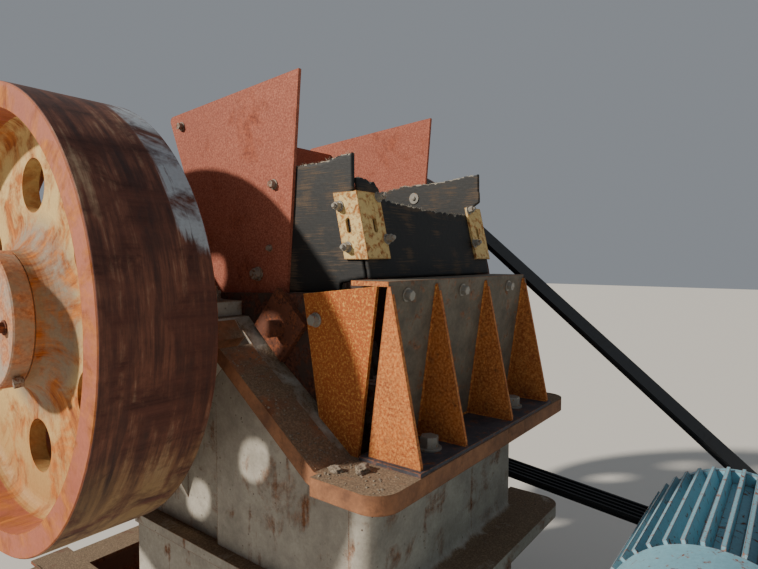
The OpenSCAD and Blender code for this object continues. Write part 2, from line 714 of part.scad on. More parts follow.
motor_x0 = -50;
motor_x1 = motor_x0 + motor_len;
bell_len = 85;
module motor_housing() color("#7fa9bd") at_shaft() {
    fins = 40;
    bar_x(motor_x0, motor_x1 + 8, motor_d / 2 - fin_h, motor_at);
    yz(motor_x0, motor_x1) translate(motor_at) for (i = [0 : fins - 1]) rotate(2 + i * 360 / fins)
        translate([0, -4.5]) square([motor_d / 2, 9]);
    // drive-end bell and shaft
    translate([motor_x1, -motor_y, -motor_z]) rotate([0, 90, 0]) rotate_extrude()
        polygon([[0, 0], [motor_d / 2 - 12, 0], [motor_d / 2 - 12, 22], [motor_d / 2 - 60, 42], [125, 70], [125, bell_len], [0, bell_len]]);
    bar_x(motor_x1, belt_x0 + belt_w, motor_shaft_d / 2, motor_at);
}

fan_len = 140;
fan_dome = 46;
module motor_fan_cover() color("#86b3c6") at_shaft()
    translate([motor_x0, -motor_y, -motor_z]) rotate([0, -90, 0]) rotate_extrude() polygon(concat(
        [[0, 0], [motor_d / 2 - 10, 0]],
        arc([motor_d / 2 - 70, fan_len], 60, fan_dome, 0, 90, 6),
        [[0, fan_len + fan_dome]]));

foot_z = motor_d / 2 + 12;
module motor_base() color("#6f93a5") at_shaft()
    difference() {
        for (s = [-1, 1]) yz(motor_x0 + 40, motor_x1 - 40) polygon([[-motor_y + s * 100, -motor_z - foot_z],
            [-motor_y + s * 225, -motor_z - foot_z], [-motor_y + s * 225, -motor_z - foot_z + 24],
            [-motor_y + s * 185, -motor_z - foot_z + 34], [-motor_y + s * 178, -motor_z - 140], [-motor_y + s * 100, -motor_z - 140]]);
        bar_x(motor_x0, motor_x1, motor_d / 2 + seat_gap, motor_at, $fn = 96);
    }

// Skid: two long beams, cross members and the motor's stand

beam_flange = 12;
beam_web = 9;
cross_w = 100;
outrigger_x = 900;
outrigger_y = 1200;
stand_z = shaft_z - motor_z - foot_z;
stand_y = shaft_y - motor_y;
stand_leg = 170;
stand_half = stand_leg + 70;
cross_y = [stand_y - stand_leg, stand_y + stand_leg,
           shaft_y - front_y, shaft_y - shaft_h / 3, shaft_y + rear_y - 20];

// section of a rolled beam w wide, its foot at the origin
module i_section(w) {
    translate([-w / 2, 0]) square([w, beam_flange]);
    translate([-w / 2, beam_h - beam_flange]) square([w, beam_flange]);
    translate([-beam_web / 2, beam_flange - 1]) square([beam_web, beam_h - 2 * beam_flange + 2]);
}

module skid_beam(s) {
    difference() {
        translate([0, beam_len / 2, 0]) rotate([90, 0, 0]) linear_extrude(beam_len) translate([s * beam_gap / 2, 0]) i_section(beam_w);
        for (y = [-1, 1]) translate([s * (beam_gap / 2 - 40), y * anchor_y, -1]) cylinder(d = anchor_d, h = beam_flange + 2);
    }
}
anchor_y = 1100;
module left_skid_beam() color("#5b4136") skid_beam(-1);
module right_skid_beam() color("#5b4136") skid_beam(1);

// a beam w wide across the skid, coped where it meets the long beams' flanges
module cross_member(y, w) {
    inner = (beam_gap - beam_w) / 2;
    yz(-inner, inner) translate([y, 0]) i_section(w);
    box(-(beam_gap - beam_web) / 2, (beam_gap - beam_web) / 2, y - beam_web / 2, y + beam_web / 2, beam_flange, beam_h - beam_flange);
}

module skid_cross_members() color("#5b4136") {
    for (y = cross_y) cross_member(y, cross_w);
    // the rear one carries on outside the long beams
    cross_member(outrigger_y, beam_w);
    for (s = [-1, 1]) right(s > 0) {
        yz(-outrigger_x, -(beam_gap + beam_w) / 2) translate([outrigger_y, 0]) i_section(beam_w);
        box(-outrigger_x + 1, -(beam_gap + beam_web) / 2, outrigger_y - beam_web / 2, outrigger_y + beam_web / 2,
            beam_flange, beam_h - beam_flange);
    }
}

module motor_stand() color("#5b4136") {
    plate = 16;
    x0 = motor_x0 + 20;
    x1 = motor_x1 - 20;
    box(x0, x1, stand_y - stand_half, stand_y + stand_half, stand_z - plate, stand_z);
    // channel legs
    for (s = [-1, 1]) yz(x0, x1) translate([stand_y + s * stand_leg, 0]) difference() {
        translate([-35, beam_h]) square([70, stand_z - plate - beam_h + 1]);
        translate([s < 0 ? -36 : -25, beam_h + 10]) square([61, stand_z - plate - beam_h - 20]);
    }
}

frame_left_side();
frame_right_side();
frame_front_end();
frame_rear_end();
fixed_jaw_die();
moving_jaw_die();
left_cheek_plate();
right_cheek_plate();
left_cheek_clamp();
right_cheek_clamp();
left_bearing_cap();
right_bearing_cap();
pitman();
toggle_plate();
toggle_block();
tension_rod();
tension_spring();
hopper_front_wall();
hopper_left_side();
hopper_right_side();
left_wing_plate();
right_wing_plate();
hopper_rear_plate();
left_rubber_skirt();
right_rubber_skirt();
front_rubber_skirt();
left_corner_angle();
right_corner_angle();
eccentric_shaft();
flywheel();
flywheel_lock_ring();
drive_sheave();
sheave_lock_ring();
drive_belt();
motor_housing();
motor_fan_cover();
motor_base();
motor_sheave();
left_skid_beam();
right_skid_beam();
skid_cross_members();
motor_stand();
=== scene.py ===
# %% [markdown]
# # A jaw crusher on its skid
# A jaw crusher squeezes rock between a fixed and a swinging jaw. The castings,
# plates and wheels arrive from CAD as solids that are already the right size,
# so nothing here changes a dimension. This file adds what CAD leaves out: the
# bolts, the weld beads, the torn edges of the rubber, the grit that lies on the
# ledges, and above all the finish. The machine has stood outside for years, and
# almost every colour on it is a stage between paint and rust.

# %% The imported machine
import bpy
import bmesh
import json
import math
import random
from functools import partial
from mathutils import Matrix, Vector, noise

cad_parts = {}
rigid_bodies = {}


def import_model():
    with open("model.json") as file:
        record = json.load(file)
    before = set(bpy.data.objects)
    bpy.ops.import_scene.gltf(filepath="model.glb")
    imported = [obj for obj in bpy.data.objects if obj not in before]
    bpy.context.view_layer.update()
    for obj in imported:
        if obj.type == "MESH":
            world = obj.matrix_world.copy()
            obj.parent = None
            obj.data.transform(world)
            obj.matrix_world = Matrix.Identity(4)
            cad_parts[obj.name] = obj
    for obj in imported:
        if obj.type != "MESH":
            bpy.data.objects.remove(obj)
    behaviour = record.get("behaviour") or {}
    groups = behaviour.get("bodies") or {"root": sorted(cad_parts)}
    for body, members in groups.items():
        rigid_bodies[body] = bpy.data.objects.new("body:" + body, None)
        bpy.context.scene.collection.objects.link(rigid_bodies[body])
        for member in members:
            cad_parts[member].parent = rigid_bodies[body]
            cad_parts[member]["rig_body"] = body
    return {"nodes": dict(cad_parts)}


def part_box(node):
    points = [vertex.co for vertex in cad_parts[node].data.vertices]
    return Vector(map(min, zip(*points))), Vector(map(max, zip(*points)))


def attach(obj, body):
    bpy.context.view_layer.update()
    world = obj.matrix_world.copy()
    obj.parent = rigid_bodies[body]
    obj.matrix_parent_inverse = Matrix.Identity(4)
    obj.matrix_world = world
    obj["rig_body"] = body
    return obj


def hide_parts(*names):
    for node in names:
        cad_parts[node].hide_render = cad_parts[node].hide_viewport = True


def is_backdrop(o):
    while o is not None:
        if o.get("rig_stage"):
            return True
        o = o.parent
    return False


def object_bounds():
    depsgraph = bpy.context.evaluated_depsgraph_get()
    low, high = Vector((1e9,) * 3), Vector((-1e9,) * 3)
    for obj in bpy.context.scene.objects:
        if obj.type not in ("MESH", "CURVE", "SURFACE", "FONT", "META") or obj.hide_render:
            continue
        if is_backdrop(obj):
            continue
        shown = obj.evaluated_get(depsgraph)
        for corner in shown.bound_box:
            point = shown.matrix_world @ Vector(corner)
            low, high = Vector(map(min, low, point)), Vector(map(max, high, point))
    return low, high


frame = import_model()
cad_box = [list(p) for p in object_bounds()]
MACHINE, ROTOR = "machine", "rotor"
MM = 0.001
SHAFT_Y, SHAFT_Z = 0.570, 1.270
SHAFT = Vector((0.0, SHAFT_Y, SHAFT_Z))       # the shaft's centre, on the machine's middle plane


def about_shaft(x, y, z):
    """Millimetres from the shaft's centre, as a place in the frame."""
    return SHAFT + Vector((x, y, z)) * MM


def round_shaft(angle):
    """The direction at this angle round the shaft, or round the motor, which lies parallel to it."""
    return Vector((0, math.cos(angle), math.sin(angle)))


def in_scene(name, data):
    """A new object of this data, linked to the scene."""
    made = bpy.data.objects.new(name, data)
    bpy.context.scene.collection.objects.link(made)
    return made


# %% [markdown]
# The camera stands at eye height, close to the flywheel, and looks across the
# hopper towards the belt side. It is only 2.2 m from the shaft, so the lens is a
# wide one, and the near wheel swells towards the edge of the picture.

# %% Camera
EYE = SHAFT + Vector((-1.365, -1.692, 0.165))
HEADING, PITCH, ROLL = math.radians(52.43), math.radians(2.72), math.radians(0.14)

ahead = Vector((math.sin(HEADING), math.cos(HEADING), 0))
side = Vector((math.cos(HEADING), -math.sin(HEADING), 0))
up = Vector((0, 0, 1))
look = ahead * math.cos(PITCH) - up * math.sin(PITCH)
top = ahead * math.sin(PITCH) + up * math.cos(PITCH)
right = side * math.cos(ROLL) + top * math.sin(ROLL)
top = top * math.cos(ROLL) - side * math.sin(ROLL)
camera_data = bpy.data.cameras.new("camera")
camera_data.lens = 26.06
camera_data.sensor_width = 36.0
camera_data.sensor_fit = "HORIZONTAL"
camera_data.clip_end = 100
camera = in_scene("camera", camera_data)
camera.matrix_world = Matrix((right, top, -look)).transposed().to_4x4()
camera.location = EYE
bpy.context.scene.camera = camera
print("camera", round((EYE - SHAFT).length, 2), "m from the shaft")

# %% [markdown]
# ## Finishes
# Every finish is a node tree, and all of them work in object coordinates: a
# point of the surface looks up its own place in metres. Nothing has to be
# unwrapped, a pattern runs on from one plate to the next, and a size in the
# tree can be a real one. A blotch 60 mm across needs a noise of scale 1000/60.
#
# One function adds a node. A socket is filled either with a value or with
# another node's output, which makes the link.

# %% Helpers for node trees
# the kinds of node that most finishes are made of, each with its usual settings and the output that is used
MATH, VECTOR_MATH = ("ShaderNodeMath", {}, 0), ("ShaderNodeVectorMath", {}, "Vector")
NOISE, RANGE = ("ShaderNodeTexNoise", {}, "Fac"), ("ShaderNodeMapRange", {}, "Result")
MIX = ("ShaderNodeMix", {"data_type": "RGBA"}, 2)


def srgb(code):
    """A hex colour as linear RGBA, which is what a shader works in."""
    parts = [int(code[i:i + 2], 16) / 255 for i in (1, 3, 5)]
    return tuple(c / 12.92 if c <= 0.04045 else ((c + 0.055) / 1.055) ** 2.4 for c in parts) + (1.0,)


def node(tree, kind, sockets={}, **settings):
    """Add a node of this kind; sockets maps a name or number to a value, a hex colour or an output.

    It returns the node, or for one of the kinds above the output that is used."""
    name, usual, used = kind if isinstance(kind, tuple) else (kind, {}, None)
    new = tree.nodes.new(name)
    for key, value in {**usual, **settings}.items():
        setattr(new, key, value)
    for key, value in sockets.items():
        if isinstance(value, bpy.types.NodeSocket):
            tree.links.new(value, new.inputs[key])
        elif isinstance(value, str) and value.startswith("#"):
            new.inputs[key].default_value = srgb(value)
        else:
            new.inputs[key].default_value = value
    return new if used is None else new.outputs[used]


def per_metre(mm):
    """The noise scale that gives features about this many millimetres across."""
    return 1000.0 / mm


def blank(name):
    """A new material, its node function, its shader (wired to the output) and the place it looks up."""
    made = bpy.data.materials.new(name)
    made.use_nodes = True
    made.node_tree.nodes.clear()
    add = partial(node, made.node_tree)
    shader = add("ShaderNodeBsdfPrincipled")
    add("ShaderNodeOutputMaterial", {"Surface": shader.outputs["BSDF"]})
    return made, add, shader, add("ShaderNodeTexCoord").outputs["Object"]


def wired(made, shader, colour, rough, relief):
    """Join the three results to the shader, and return the material."""
    for socket, result in (("Base Color", colour), ("Roughness", rough), ("Normal", relief)):
        made.node_tree.links.new(result, shader.inputs[socket])
    print("finish", made.name, "-", len(made.node_tree.nodes), "nodes")
    return made


# %% [markdown]
# Old painted steel is three things on top of each other. Paint fades in large
# soft clouds. Rust eats through it in patches, in runs that hang from each
# patch, and first of all along every edge, where paint is thinnest. Grit and
# dust settle on whatever faces up. Each layer is a mask between 0 and 1, and a
# mix chooses between the colours on either side of it.
#
# The edge mask compares the true normal with one that the Bevel node rounds
# off. On a flat they agree; within a few millimetres of a corner they don't.

# %% The weathered steel recipe
def tint(add, place, share, colours):
    """What a colour function gives at the place, or else a mix of two hex colours by the share."""
    if callable(colours):
        return colours(add, place)
    return add(MIX, {0: share, 6: colours[0], 7: colours[1]})


def weathered(name, paint, rust, cover, patch, runs=0.0, edge=3.0, grit=None, gloss=0.55, pits=0.5, soft=0.035):
    """Painted steel gone to rust. paint and rust are two hex colours each, or a function of the tree's
    node function and the place; cover is the rusted share; patch and edge are in millimetres; soft is
    how gradually paint gives way to rust."""
    made, add, shader, place = blank(name)

    cloud = add(NOISE, {"Vector": place, "Scale": per_metre(420), "Detail": 4.0})
    grain = add(NOISE, {"Vector": place, "Scale": per_metre(9), "Detail": 6.0, "Roughness": 0.65})
    blotch = add(NOISE, {"Vector": place, "Scale": per_metre(patch), "Detail": 9.0,
                                               "Roughness": 0.66, "Distortion": 0.4})
    # runs are the same noise drawn out downwards, eight times as long as they are wide
    drawn = add("ShaderNodeMapping", {"Vector": place, "Scale": (1.0, 1.0, 0.12)}).outputs["Vector"]
    run = add(NOISE, {"Vector": drawn, "Scale": per_metre(34), "Detail": 6.0, "Roughness": 0.6})
    run = add(RANGE, {"Value": run, "From Min": 0.52, "From Max": 0.74, "To Max": runs})

    eaten = add(MATH, {0: blotch, 1: run}, operation="ADD")
    threshold = 0.72 - 0.44 * cover
    eaten = add(RANGE, {"Value": eaten, "From Min": threshold - soft, "From Max": threshold + soft})

    # worn edges: the rounded normal turns away from the true one
    rounded = add("ShaderNodeBevel", {"Radius": edge * MM}, samples=4).outputs["Normal"]
    true = add("ShaderNodeNewGeometry").outputs["Normal"]
    agree = add("ShaderNodeVectorMath", {0: rounded, 1: true}, operation="DOT_PRODUCT").outputs["Value"]
    worn = add(RANGE, {"Value": agree, "From Min": 0.985, "From Max": 0.90})
    worn = add(MATH, {0: worn, 1: grain}, operation="MULTIPLY")
    worn = add(RANGE, {"Value": worn, "From Min": 0.28, "From Max": 0.46})
    bare = add(MATH, {0: eaten, 1: worn}, operation="MAXIMUM")

    paint_colour = tint(add, place, cloud, paint)
    speck = add(RANGE, {"Value": grain, "From Min": 0.36, "From Max": 0.66})
    rust_colour = tint(add, place, speck, rust)
    colour = add(MIX, {0: bare, 6: paint_colour, 7: rust_colour})
    # a little of the grain everywhere keeps the paint from looking sprayed on yesterday
    shade = add(RANGE, {"Value": grain, "From Min": 0.3, "From Max": 0.7, "To Min": 0.86, "To Max": 1.08})
    colour = add(VECTOR_MATH, {0: colour, "Scale": shade}, operation="SCALE")
    rough = add(RANGE, {"Value": bare, "To Min": gloss, "To Max": 0.92})

    height = add(MATH, {0: bare, 1: -0.35, 2: grain}, operation="MULTIPLY_ADD")
    if grit:
        upness = add("ShaderNodeSeparateXYZ", {"Vector": true}).outputs["Z"]
        lying = add(MATH, {0: upness, 1: blotch}, operation="MULTIPLY")
        lying = add(RANGE, {"Value": lying, "From Min": 0.30, "From Max": 0.42})
        crumbs = add("ShaderNodeTexVoronoi", {"Vector": place, "Scale": per_metre(5)},
                     feature="F1").outputs["Distance"]
        dust = add(MIX, {0: crumbs, 6: grit[0], 7: grit[1]})
        colour = add(MIX, {0: lying, 6: colour, 7: dust})
        rough = add(MATH, {0: rough, 1: lying}, operation="MAXIMUM")
        height = add(MATH, {0: lying, 1: crumbs, 2: height}, operation="MULTIPLY_ADD")

    relief = add("ShaderNodeBump", {"Strength": pits, "Distance": 1.6 * MM, "Height": height}).outputs["Normal"]
    return wired(made, shader, colour, rough, relief)


# %% [markdown]
# The plates first. The wings are bare plate with an even red-brown rust, the
# hopper's gussets and side plates a brighter orange one, and the frame is a
# casting in old grey-white paint that weeps rust. The skid is structural steel
# that was never painted well.

# %% Plate and casting finishes
GRIT = ("#5d4c3c", "#8f7a62")                 # stone dust: dark between the grains, tan on them


def wing_paint(add, place):
    """A fine even rust: light grains a few millimetres across on a darker red, in faint clouds."""
    fine = add(NOISE, {"Vector": place, "Scale": per_metre(5), "Detail": 3.0, "Roughness": 0.7})
    fine = add(RANGE, {"Value": fine, "From Min": 0.42, "From Max": 0.68})
    cloud = add(NOISE, {"Vector": place, "Scale": per_metre(260), "Detail": 5.0})
    light = add(MIX, {0: cloud, 6: "#a8604a", 7: "#c07a60"})
    dark = add(MIX, {0: cloud, 6: "#84402e", 7: "#944c37"})
    return add(MIX, {0: fine, 6: dark, 7: light})


# the flanges stand outside the walls or ahead of the front face, above their underside, ahead of the saddle
WALL_X, FRONT_Y = 0.403, SHAFT_Y - 0.925
UNDERSIDE_Z, SADDLE_Y = SHAFT_Z - 0.356, SHAFT_Y - 0.445


def frame_colour(add, place):
    """Chalky grey-white on the walls, rust brown on the flanges that stand out round the top."""
    cloud = add(NOISE, {"Vector": place, "Scale": per_metre(90), "Detail": 8.0, "Roughness": 0.66})
    cloud = add(RANGE, {"Value": cloud, "From Min": 0.35, "From Max": 0.65})
    wall = add(MIX, {0: cloud, 6: "#918b80", 7: "#aea89c"})
    # rust pinholes where sand from the mould left pits about 5 mm across
    hole = add("ShaderNodeTexVoronoi", {"Vector": place, "Scale": per_metre(26)},
               feature="F1").outputs["Distance"]
    hole = add(RANGE, {"Value": hole, "From Min": 0.13, "From Max": 0.08})
    hole = add(MATH, {0: hole, 1: cloud}, operation="MULTIPLY")
    wall = add(MIX, {0: hole, 6: wall, 7: "#4c3527"})
    flange = add(MIX, {0: cloud, 6: "#6b4630", 7: "#a5704c"})
    at = add("ShaderNodeSeparateXYZ", {"Vector": place}).outputs
    out = add(MATH, {0: at["X"]}, operation="ABSOLUTE")
    out = add(MATH, {0: out, 1: WALL_X}, operation="GREATER_THAN")
    front = add(MATH, {0: at["Y"], 1: FRONT_Y}, operation="LESS_THAN")
    out = add(MATH, {0: out, 1: front}, operation="MAXIMUM")
    high = add(MATH, {0: at["Z"], 1: UNDERSIDE_Z}, operation="GREATER_THAN")
    ahead_of = add(MATH, {0: at["Y"], 1: SADDLE_Y}, operation="LESS_THAN")
    out = add(MATH, {0: out, 1: high}, operation="MULTIPLY")
    out = add(MATH, {0: out, 1: ahead_of}, operation="MULTIPLY")
    return add(MIX, {0: out, 6: wall, 7: flange})


# bare mild steel plate, an even fine rust
wing_rust = weathered("wing_rust", wing_paint, ("#6f3323", "#a85c42"), 0.22, 120, runs=0.05, gloss=0.8,
                      pits=0.25, soft=0.08)
# cast iron under chalky paint, with rust runs and dust
frame_paint = weathered("frame_paint", frame_colour, ("#5f3d28", "#8f6040"), 0.24, 120, runs=0.14, edge=5,
                        grit=GRIT, gloss=0.75, soft=0.07)
# rolled sections with scaly dark rust
skid_rust = weathered("skid_rust", ("#5d3a2c", "#76503c"), ("#4a2a1f", "#8a5236"), 0.45, 90, runs=0.08, edge=5,
                      grit=GRIT, gloss=0.8)
# thick plate at the jaws, dark brown
cheek_steel = weathered("cheek_steel", ("#3a2b25", "#4b362d"), ("#3b2018", "#70402c"), 0.45, 60, runs=0.05,
                        gloss=0.7)
# forged steel of clamps, rings and rods
clamp_rust = weathered("clamp_rust", ("#57301f", "#6e3d28"), ("#3e2117", "#8a4c2c"), 0.5, 40, gloss=0.8)
ring_rust = weathered("ring_rust", ("#948474", "#ab9a86"), ("#a5603a", "#c98f63"), 0.55, 70, runs=0.08,
                      gloss=0.7, soft=0.1)
# the corner angles keep most of a yellow-cream paint
angle_paint = weathered("angle_paint", ("#c7a55c", "#dcc68d"), ("#8a5228", "#b87c42"), 0.36, 16, runs=0.1,
                        edge=5, gloss=0.6, soft=0.07)
# bolts: zinc long gone, dull brown-grey
bolt_steel = weathered("bolt_steel", ("#7d7166", "#958879"), ("#54372a", "#8a5c40"), 0.4, 14, edge=2,
                       gloss=0.5, pits=0.3)
# newer plated bolts that hold the angles and the liner
plated_steel = weathered("plated_steel", ("#7c7972", "#98958c"), ("#6f4a30", "#8a653c"), 0.26, 9, edge=1,
                         gloss=0.35, pits=0.2)

# %% [markdown]
# The hopper's front wall is one welded piece in three finishes: gussets in
# bright rust, panels between them in old brown-grey paint, and a base plate
# whose top is painted dark blue-grey as painted shade and a painted reflection
# of the sky. The same recipe serves, with a function in place of the paint that
# looks at where a point lies. The gussets' faces have their normals along X,
# and the base plate is all below one height.

# %% The hopper's three finishes in one
BASE_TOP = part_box("hopper_front_wall")[0].z + 11 * MM
# the panel's outer face: how far it leans out for each metre of height, and a point that it passes through
PANEL_SLOPE, PANEL_Y, PANEL_Z = 0.137, -0.333, 0.961
PROUD = 0.012


def hopper_paint(add, place):
    """Orange on gussets, brown-grey on panels, painted shade and painted sky reflection in blue-grey on top of
    the base plate.
    """
    cloud = add(NOISE, {"Vector": place, "Scale": per_metre(60), "Detail": 8.0, "Roughness": 0.7})
    cloud = add(RANGE, {"Value": cloud, "From Min": 0.36, "From Max": 0.64})
    fine = add(NOISE, {"Vector": place, "Scale": per_metre(7), "Detail": 5.0, "Roughness": 0.75})
    fine = add(RANGE, {"Value": fine, "From Min": 0.40, "From Max": 0.68})
    deep = add(MIX, {0: cloud, 6: "#873a13", 7: "#ae581b"})
    orange = add(MIX, {0: fine, 6: deep, 7: "#dd9750"})
    panel = add(MIX, {0: cloud, 6: "#5a5348", 7: "#7a7061"})
    # the top of the base plate: painted shade and a painted blue-grey reflection of the sky
    painted_sky_shade = add(MIX, {0: cloud, 6: "#35343a", 7: "#4c4a50"})
    facing = add("ShaderNodeSeparateXYZ", {"Vector": add("ShaderNodeNewGeometry").outputs["True Normal"]})
    sideways = add(MATH, {0: facing.outputs["X"]}, operation="ABSOLUTE")
    sideways = add(MATH, {0: sideways, 1: 0.5}, operation="GREATER_THAN")
    at = add("ShaderNodeSeparateXYZ", {"Vector": place}).outputs
    # the narrow front edge of a gusset stands more than 12 mm proud of the leaning panel
    lean = add(MATH, {0: at["Z"], 1: PANEL_SLOPE, 2: at["Y"]}, operation="MULTIPLY_ADD")
    proud = add(MATH, {0: lean, 1: PANEL_Y + PANEL_Z * PANEL_SLOPE - PROUD}, operation="LESS_THAN")
    gusset = add(MATH, {0: sideways, 1: proud}, operation="MAXIMUM")
    low = add(MATH, {0: at["Z"], 1: BASE_TOP}, operation="LESS_THAN")
    colour = add(MIX, {0: gusset, 6: panel, 7: orange})
    return add(MIX, {0: low, 6: colour, 7: painted_sky_shade})


hopper_wall = weathered("hopper_wall", hopper_paint, ("#57311e", "#a8683f"), 0.20, 30, runs=0.07, edge=4,
                        gloss=0.7, soft=0.08)
# side plates: bright orange rust with pale speckles
hopper_side = weathered("hopper_side", ("#873a16", "#b25c22"), ("#a35722", "#dba353"), 0.42, 6, runs=0.03,
                        gloss=0.8, pits=0.3, soft=0.06)

# %% [markdown]
# The wheels show four finishes. The outside of the rim runs against nothing and
# has gone a dark purple brown in bands round the wheel. Its faces are a pale
# salmon rust, and inside them the web and hub keep their cream paint, with
# orange rust that has been thrown outwards from the hub. The bands are a noise
# squeezed across the shaft, so that they run long round the wheel. The stains
# look up their direction from the hub, so that they are drawn outwards.

# %% Wheel finish
IN_RIM, ON_TREAD = 0.5475, 0.6085             # radius where the rim starts, and just inside the tread


def wheel_place(add, place):
    """The place from the shaft's centre, the radius, a place drawn out round the wheel for its bands, and
    one drawn out from the hub for its stains.

    The last two come from the place itself, not from an angle, so they have no seam where an angle
    starts again."""
    rel = add(VECTOR_MATH, {0: place, 1: tuple(SHAFT)}, operation="SUBTRACT")
    flat = add(VECTOR_MATH, {0: rel, 1: (0.0, 1.0, 1.0)}, operation="MULTIPLY")
    radius = add("ShaderNodeVectorMath", {0: flat}, operation="LENGTH").outputs["Value"]
    banded = add("ShaderNodeMapping", {"Vector": rel, "Scale": (1.0, 0.07, 0.07)}).outputs["Vector"]
    spoke = add(VECTOR_MATH, {0: flat}, operation="NORMALIZE")
    spoke = add(VECTOR_MATH, {0: spoke, "Scale": 0.4}, operation="SCALE")
    out = add(MATH, {0: radius, 1: 0.25}, operation="MULTIPLY")
    out = add("ShaderNodeCombineXYZ", {"X": out}).outputs["Vector"]
    thrown = add(VECTOR_MATH, {0: spoke, 1: out}, operation="ADD")
    return rel, radius, banded, thrown


def wheel_paint(add, place):
    """Dark banded tread with a pale blue-grey patch near its inner edge, salmon faces and a cream dish with
    painted shade low down.
    """
    rel, radius, banded, _ = wheel_place(add, place)
    band = add(NOISE, {"Vector": banded, "Scale": per_metre(24), "Detail": 7.0, "Roughness": 0.66})
    cloud = add(NOISE, {"Vector": place, "Scale": per_metre(230), "Detail": 6.0, "Roughness": 0.62})
    both = add(MATH, {0: cloud, 1: 0.4}, operation="MULTIPLY")
    both = add(MATH, {0: band, 1: 0.6, 2: both}, operation="MULTIPLY_ADD")
    tread = add("ShaderNodeValToRGB", {"Fac": both})
    ramp = tread.color_ramp
    ramp.elements[0].position, ramp.elements[0].color = 0.38, srgb("#3d2622")
    ramp.elements[1].position, ramp.elements[1].color = 0.63, srgb("#b39678")
    for position, code in ((0.46, "#583429"), (0.53, "#7a4b39")):
        ramp.elements.new(position).color = srgb(code)
    # mud colour towards the bottom of the wheel, in the same bands
    low = add("ShaderNodeSeparateXYZ", {"Vector": place}).outputs["Z"]
    low = add(RANGE, {"Value": low, "From Min": SHAFT.z - 0.10, "From Max": SHAFT.z - 0.52})
    mud = add(MATH, {0: low, 1: band}, operation="MULTIPLY")
    mud = add(RANGE, {"Value": mud, "From Min": 0.18, "From Max": 0.46})
    muddy = add(MIX, {0: mud, 6: tread.outputs["Color"], 7: "#93764f"})
    # a pale blue-grey patch: over the inner edge, on the upper front of the wheel
    at = add("ShaderNodeSeparateXYZ", {"Vector": rel}).outputs
    ahead_of = add(MATH, {0: at["Y"], 1: -1.0}, operation="MULTIPLY")
    turn = add(MATH, {0: at["Z"], 1: ahead_of}, operation="ARCTAN2")
    inward = add(MATH, {0: at["X"]}, operation="ABSOLUTE")
    inward = add(RANGE, {"Value": inward, "From Min": 0.70, "From Max": 0.62})
    upper = add(RANGE, {"Value": turn, "From Min": 1.58, "From Max": 1.09})
    lower = add(RANGE, {"Value": turn, "From Min": 0.12, "From Max": 0.42})
    left = add(MATH, {0: upper, 1: lower}, operation="MULTIPLY")
    left = add(MATH, {0: left, 1: inward}, operation="MULTIPLY")
    left = add(MATH, {0: left, 1: band}, operation="MULTIPLY")
    left = add(RANGE, {"Value": left, "From Min": 0.30, "From Max": 0.38})
    tread = add(MIX, {0: left, 6: muddy, 7: "#a9b2ba"})
    face = add(MIX, {0: cloud, 6: "#94472f", 7: "#b87257"})
    dish = add(MIX, {0: cloud, 6: "#bb9250", 7: "#dfc585"})
    # painted shade: the dish turns darker and browner towards the bottom
    painted_low_shade = add(MATH, {0: low, 1: 0.65}, operation="MULTIPLY")
    dish = add(MIX, {0: painted_low_shade, 6: dish, 7: "#a06a34"})
    hub = add(MIX, {0: cloud, 6: "#7f715c", 7: "#9d8d75"})
    in_hub = add(RANGE, {"Value": radius, "From Min": 0.30, "From Max": 0.24})
    dish = add(MIX, {0: in_hub, 6: dish, 7: hub})
    in_rim = add(MATH, {0: radius, 1: IN_RIM}, operation="GREATER_THAN")
    on_tread = add(MATH, {0: radius, 1: ON_TREAD}, operation="GREATER_THAN")
    colour = add(MIX, {0: in_rim, 6: dish, 7: face})
    return add(MIX, {0: on_tread, 6: colour, 7: tread})


def wheel_rust(add, place):
    """Orange stains in the dish, dark scale on the tread."""
    _, radius, _, thrown = wheel_place(add, place)
    thrown = add(NOISE, {"Vector": thrown, "Scale": per_metre(26), "Detail": 7.0, "Roughness": 0.7})
    thrown = add(RANGE, {"Value": thrown, "From Min": 0.34, "From Max": 0.64})
    orange = add(MIX, {0: thrown, 6: "#7c3a16", 7: "#c47a35"})
    scale = add(MIX, {0: thrown, 6: "#3a211d", 7: "#6b4136"})
    on_tread = add(MATH, {0: radius, 1: ON_TREAD}, operation="GREATER_THAN")
    return add(MIX, {0: on_tread, 6: orange, 7: scale})


wheel_coat = weathered("wheel_coat", wheel_paint, wheel_rust, 0.44, 110, edge=5, gloss=0.7, pits=0.3, soft=0.08)

# %% [markdown]
# Rubber cut from old conveyor belt is a different thing. It is nearly black,
# and its surface is scraped in fine level lines where rock slid past, with
# brown dust in the scrapes. Blue motor paint is harder than the frame's and
# lets rust through only in freckles.

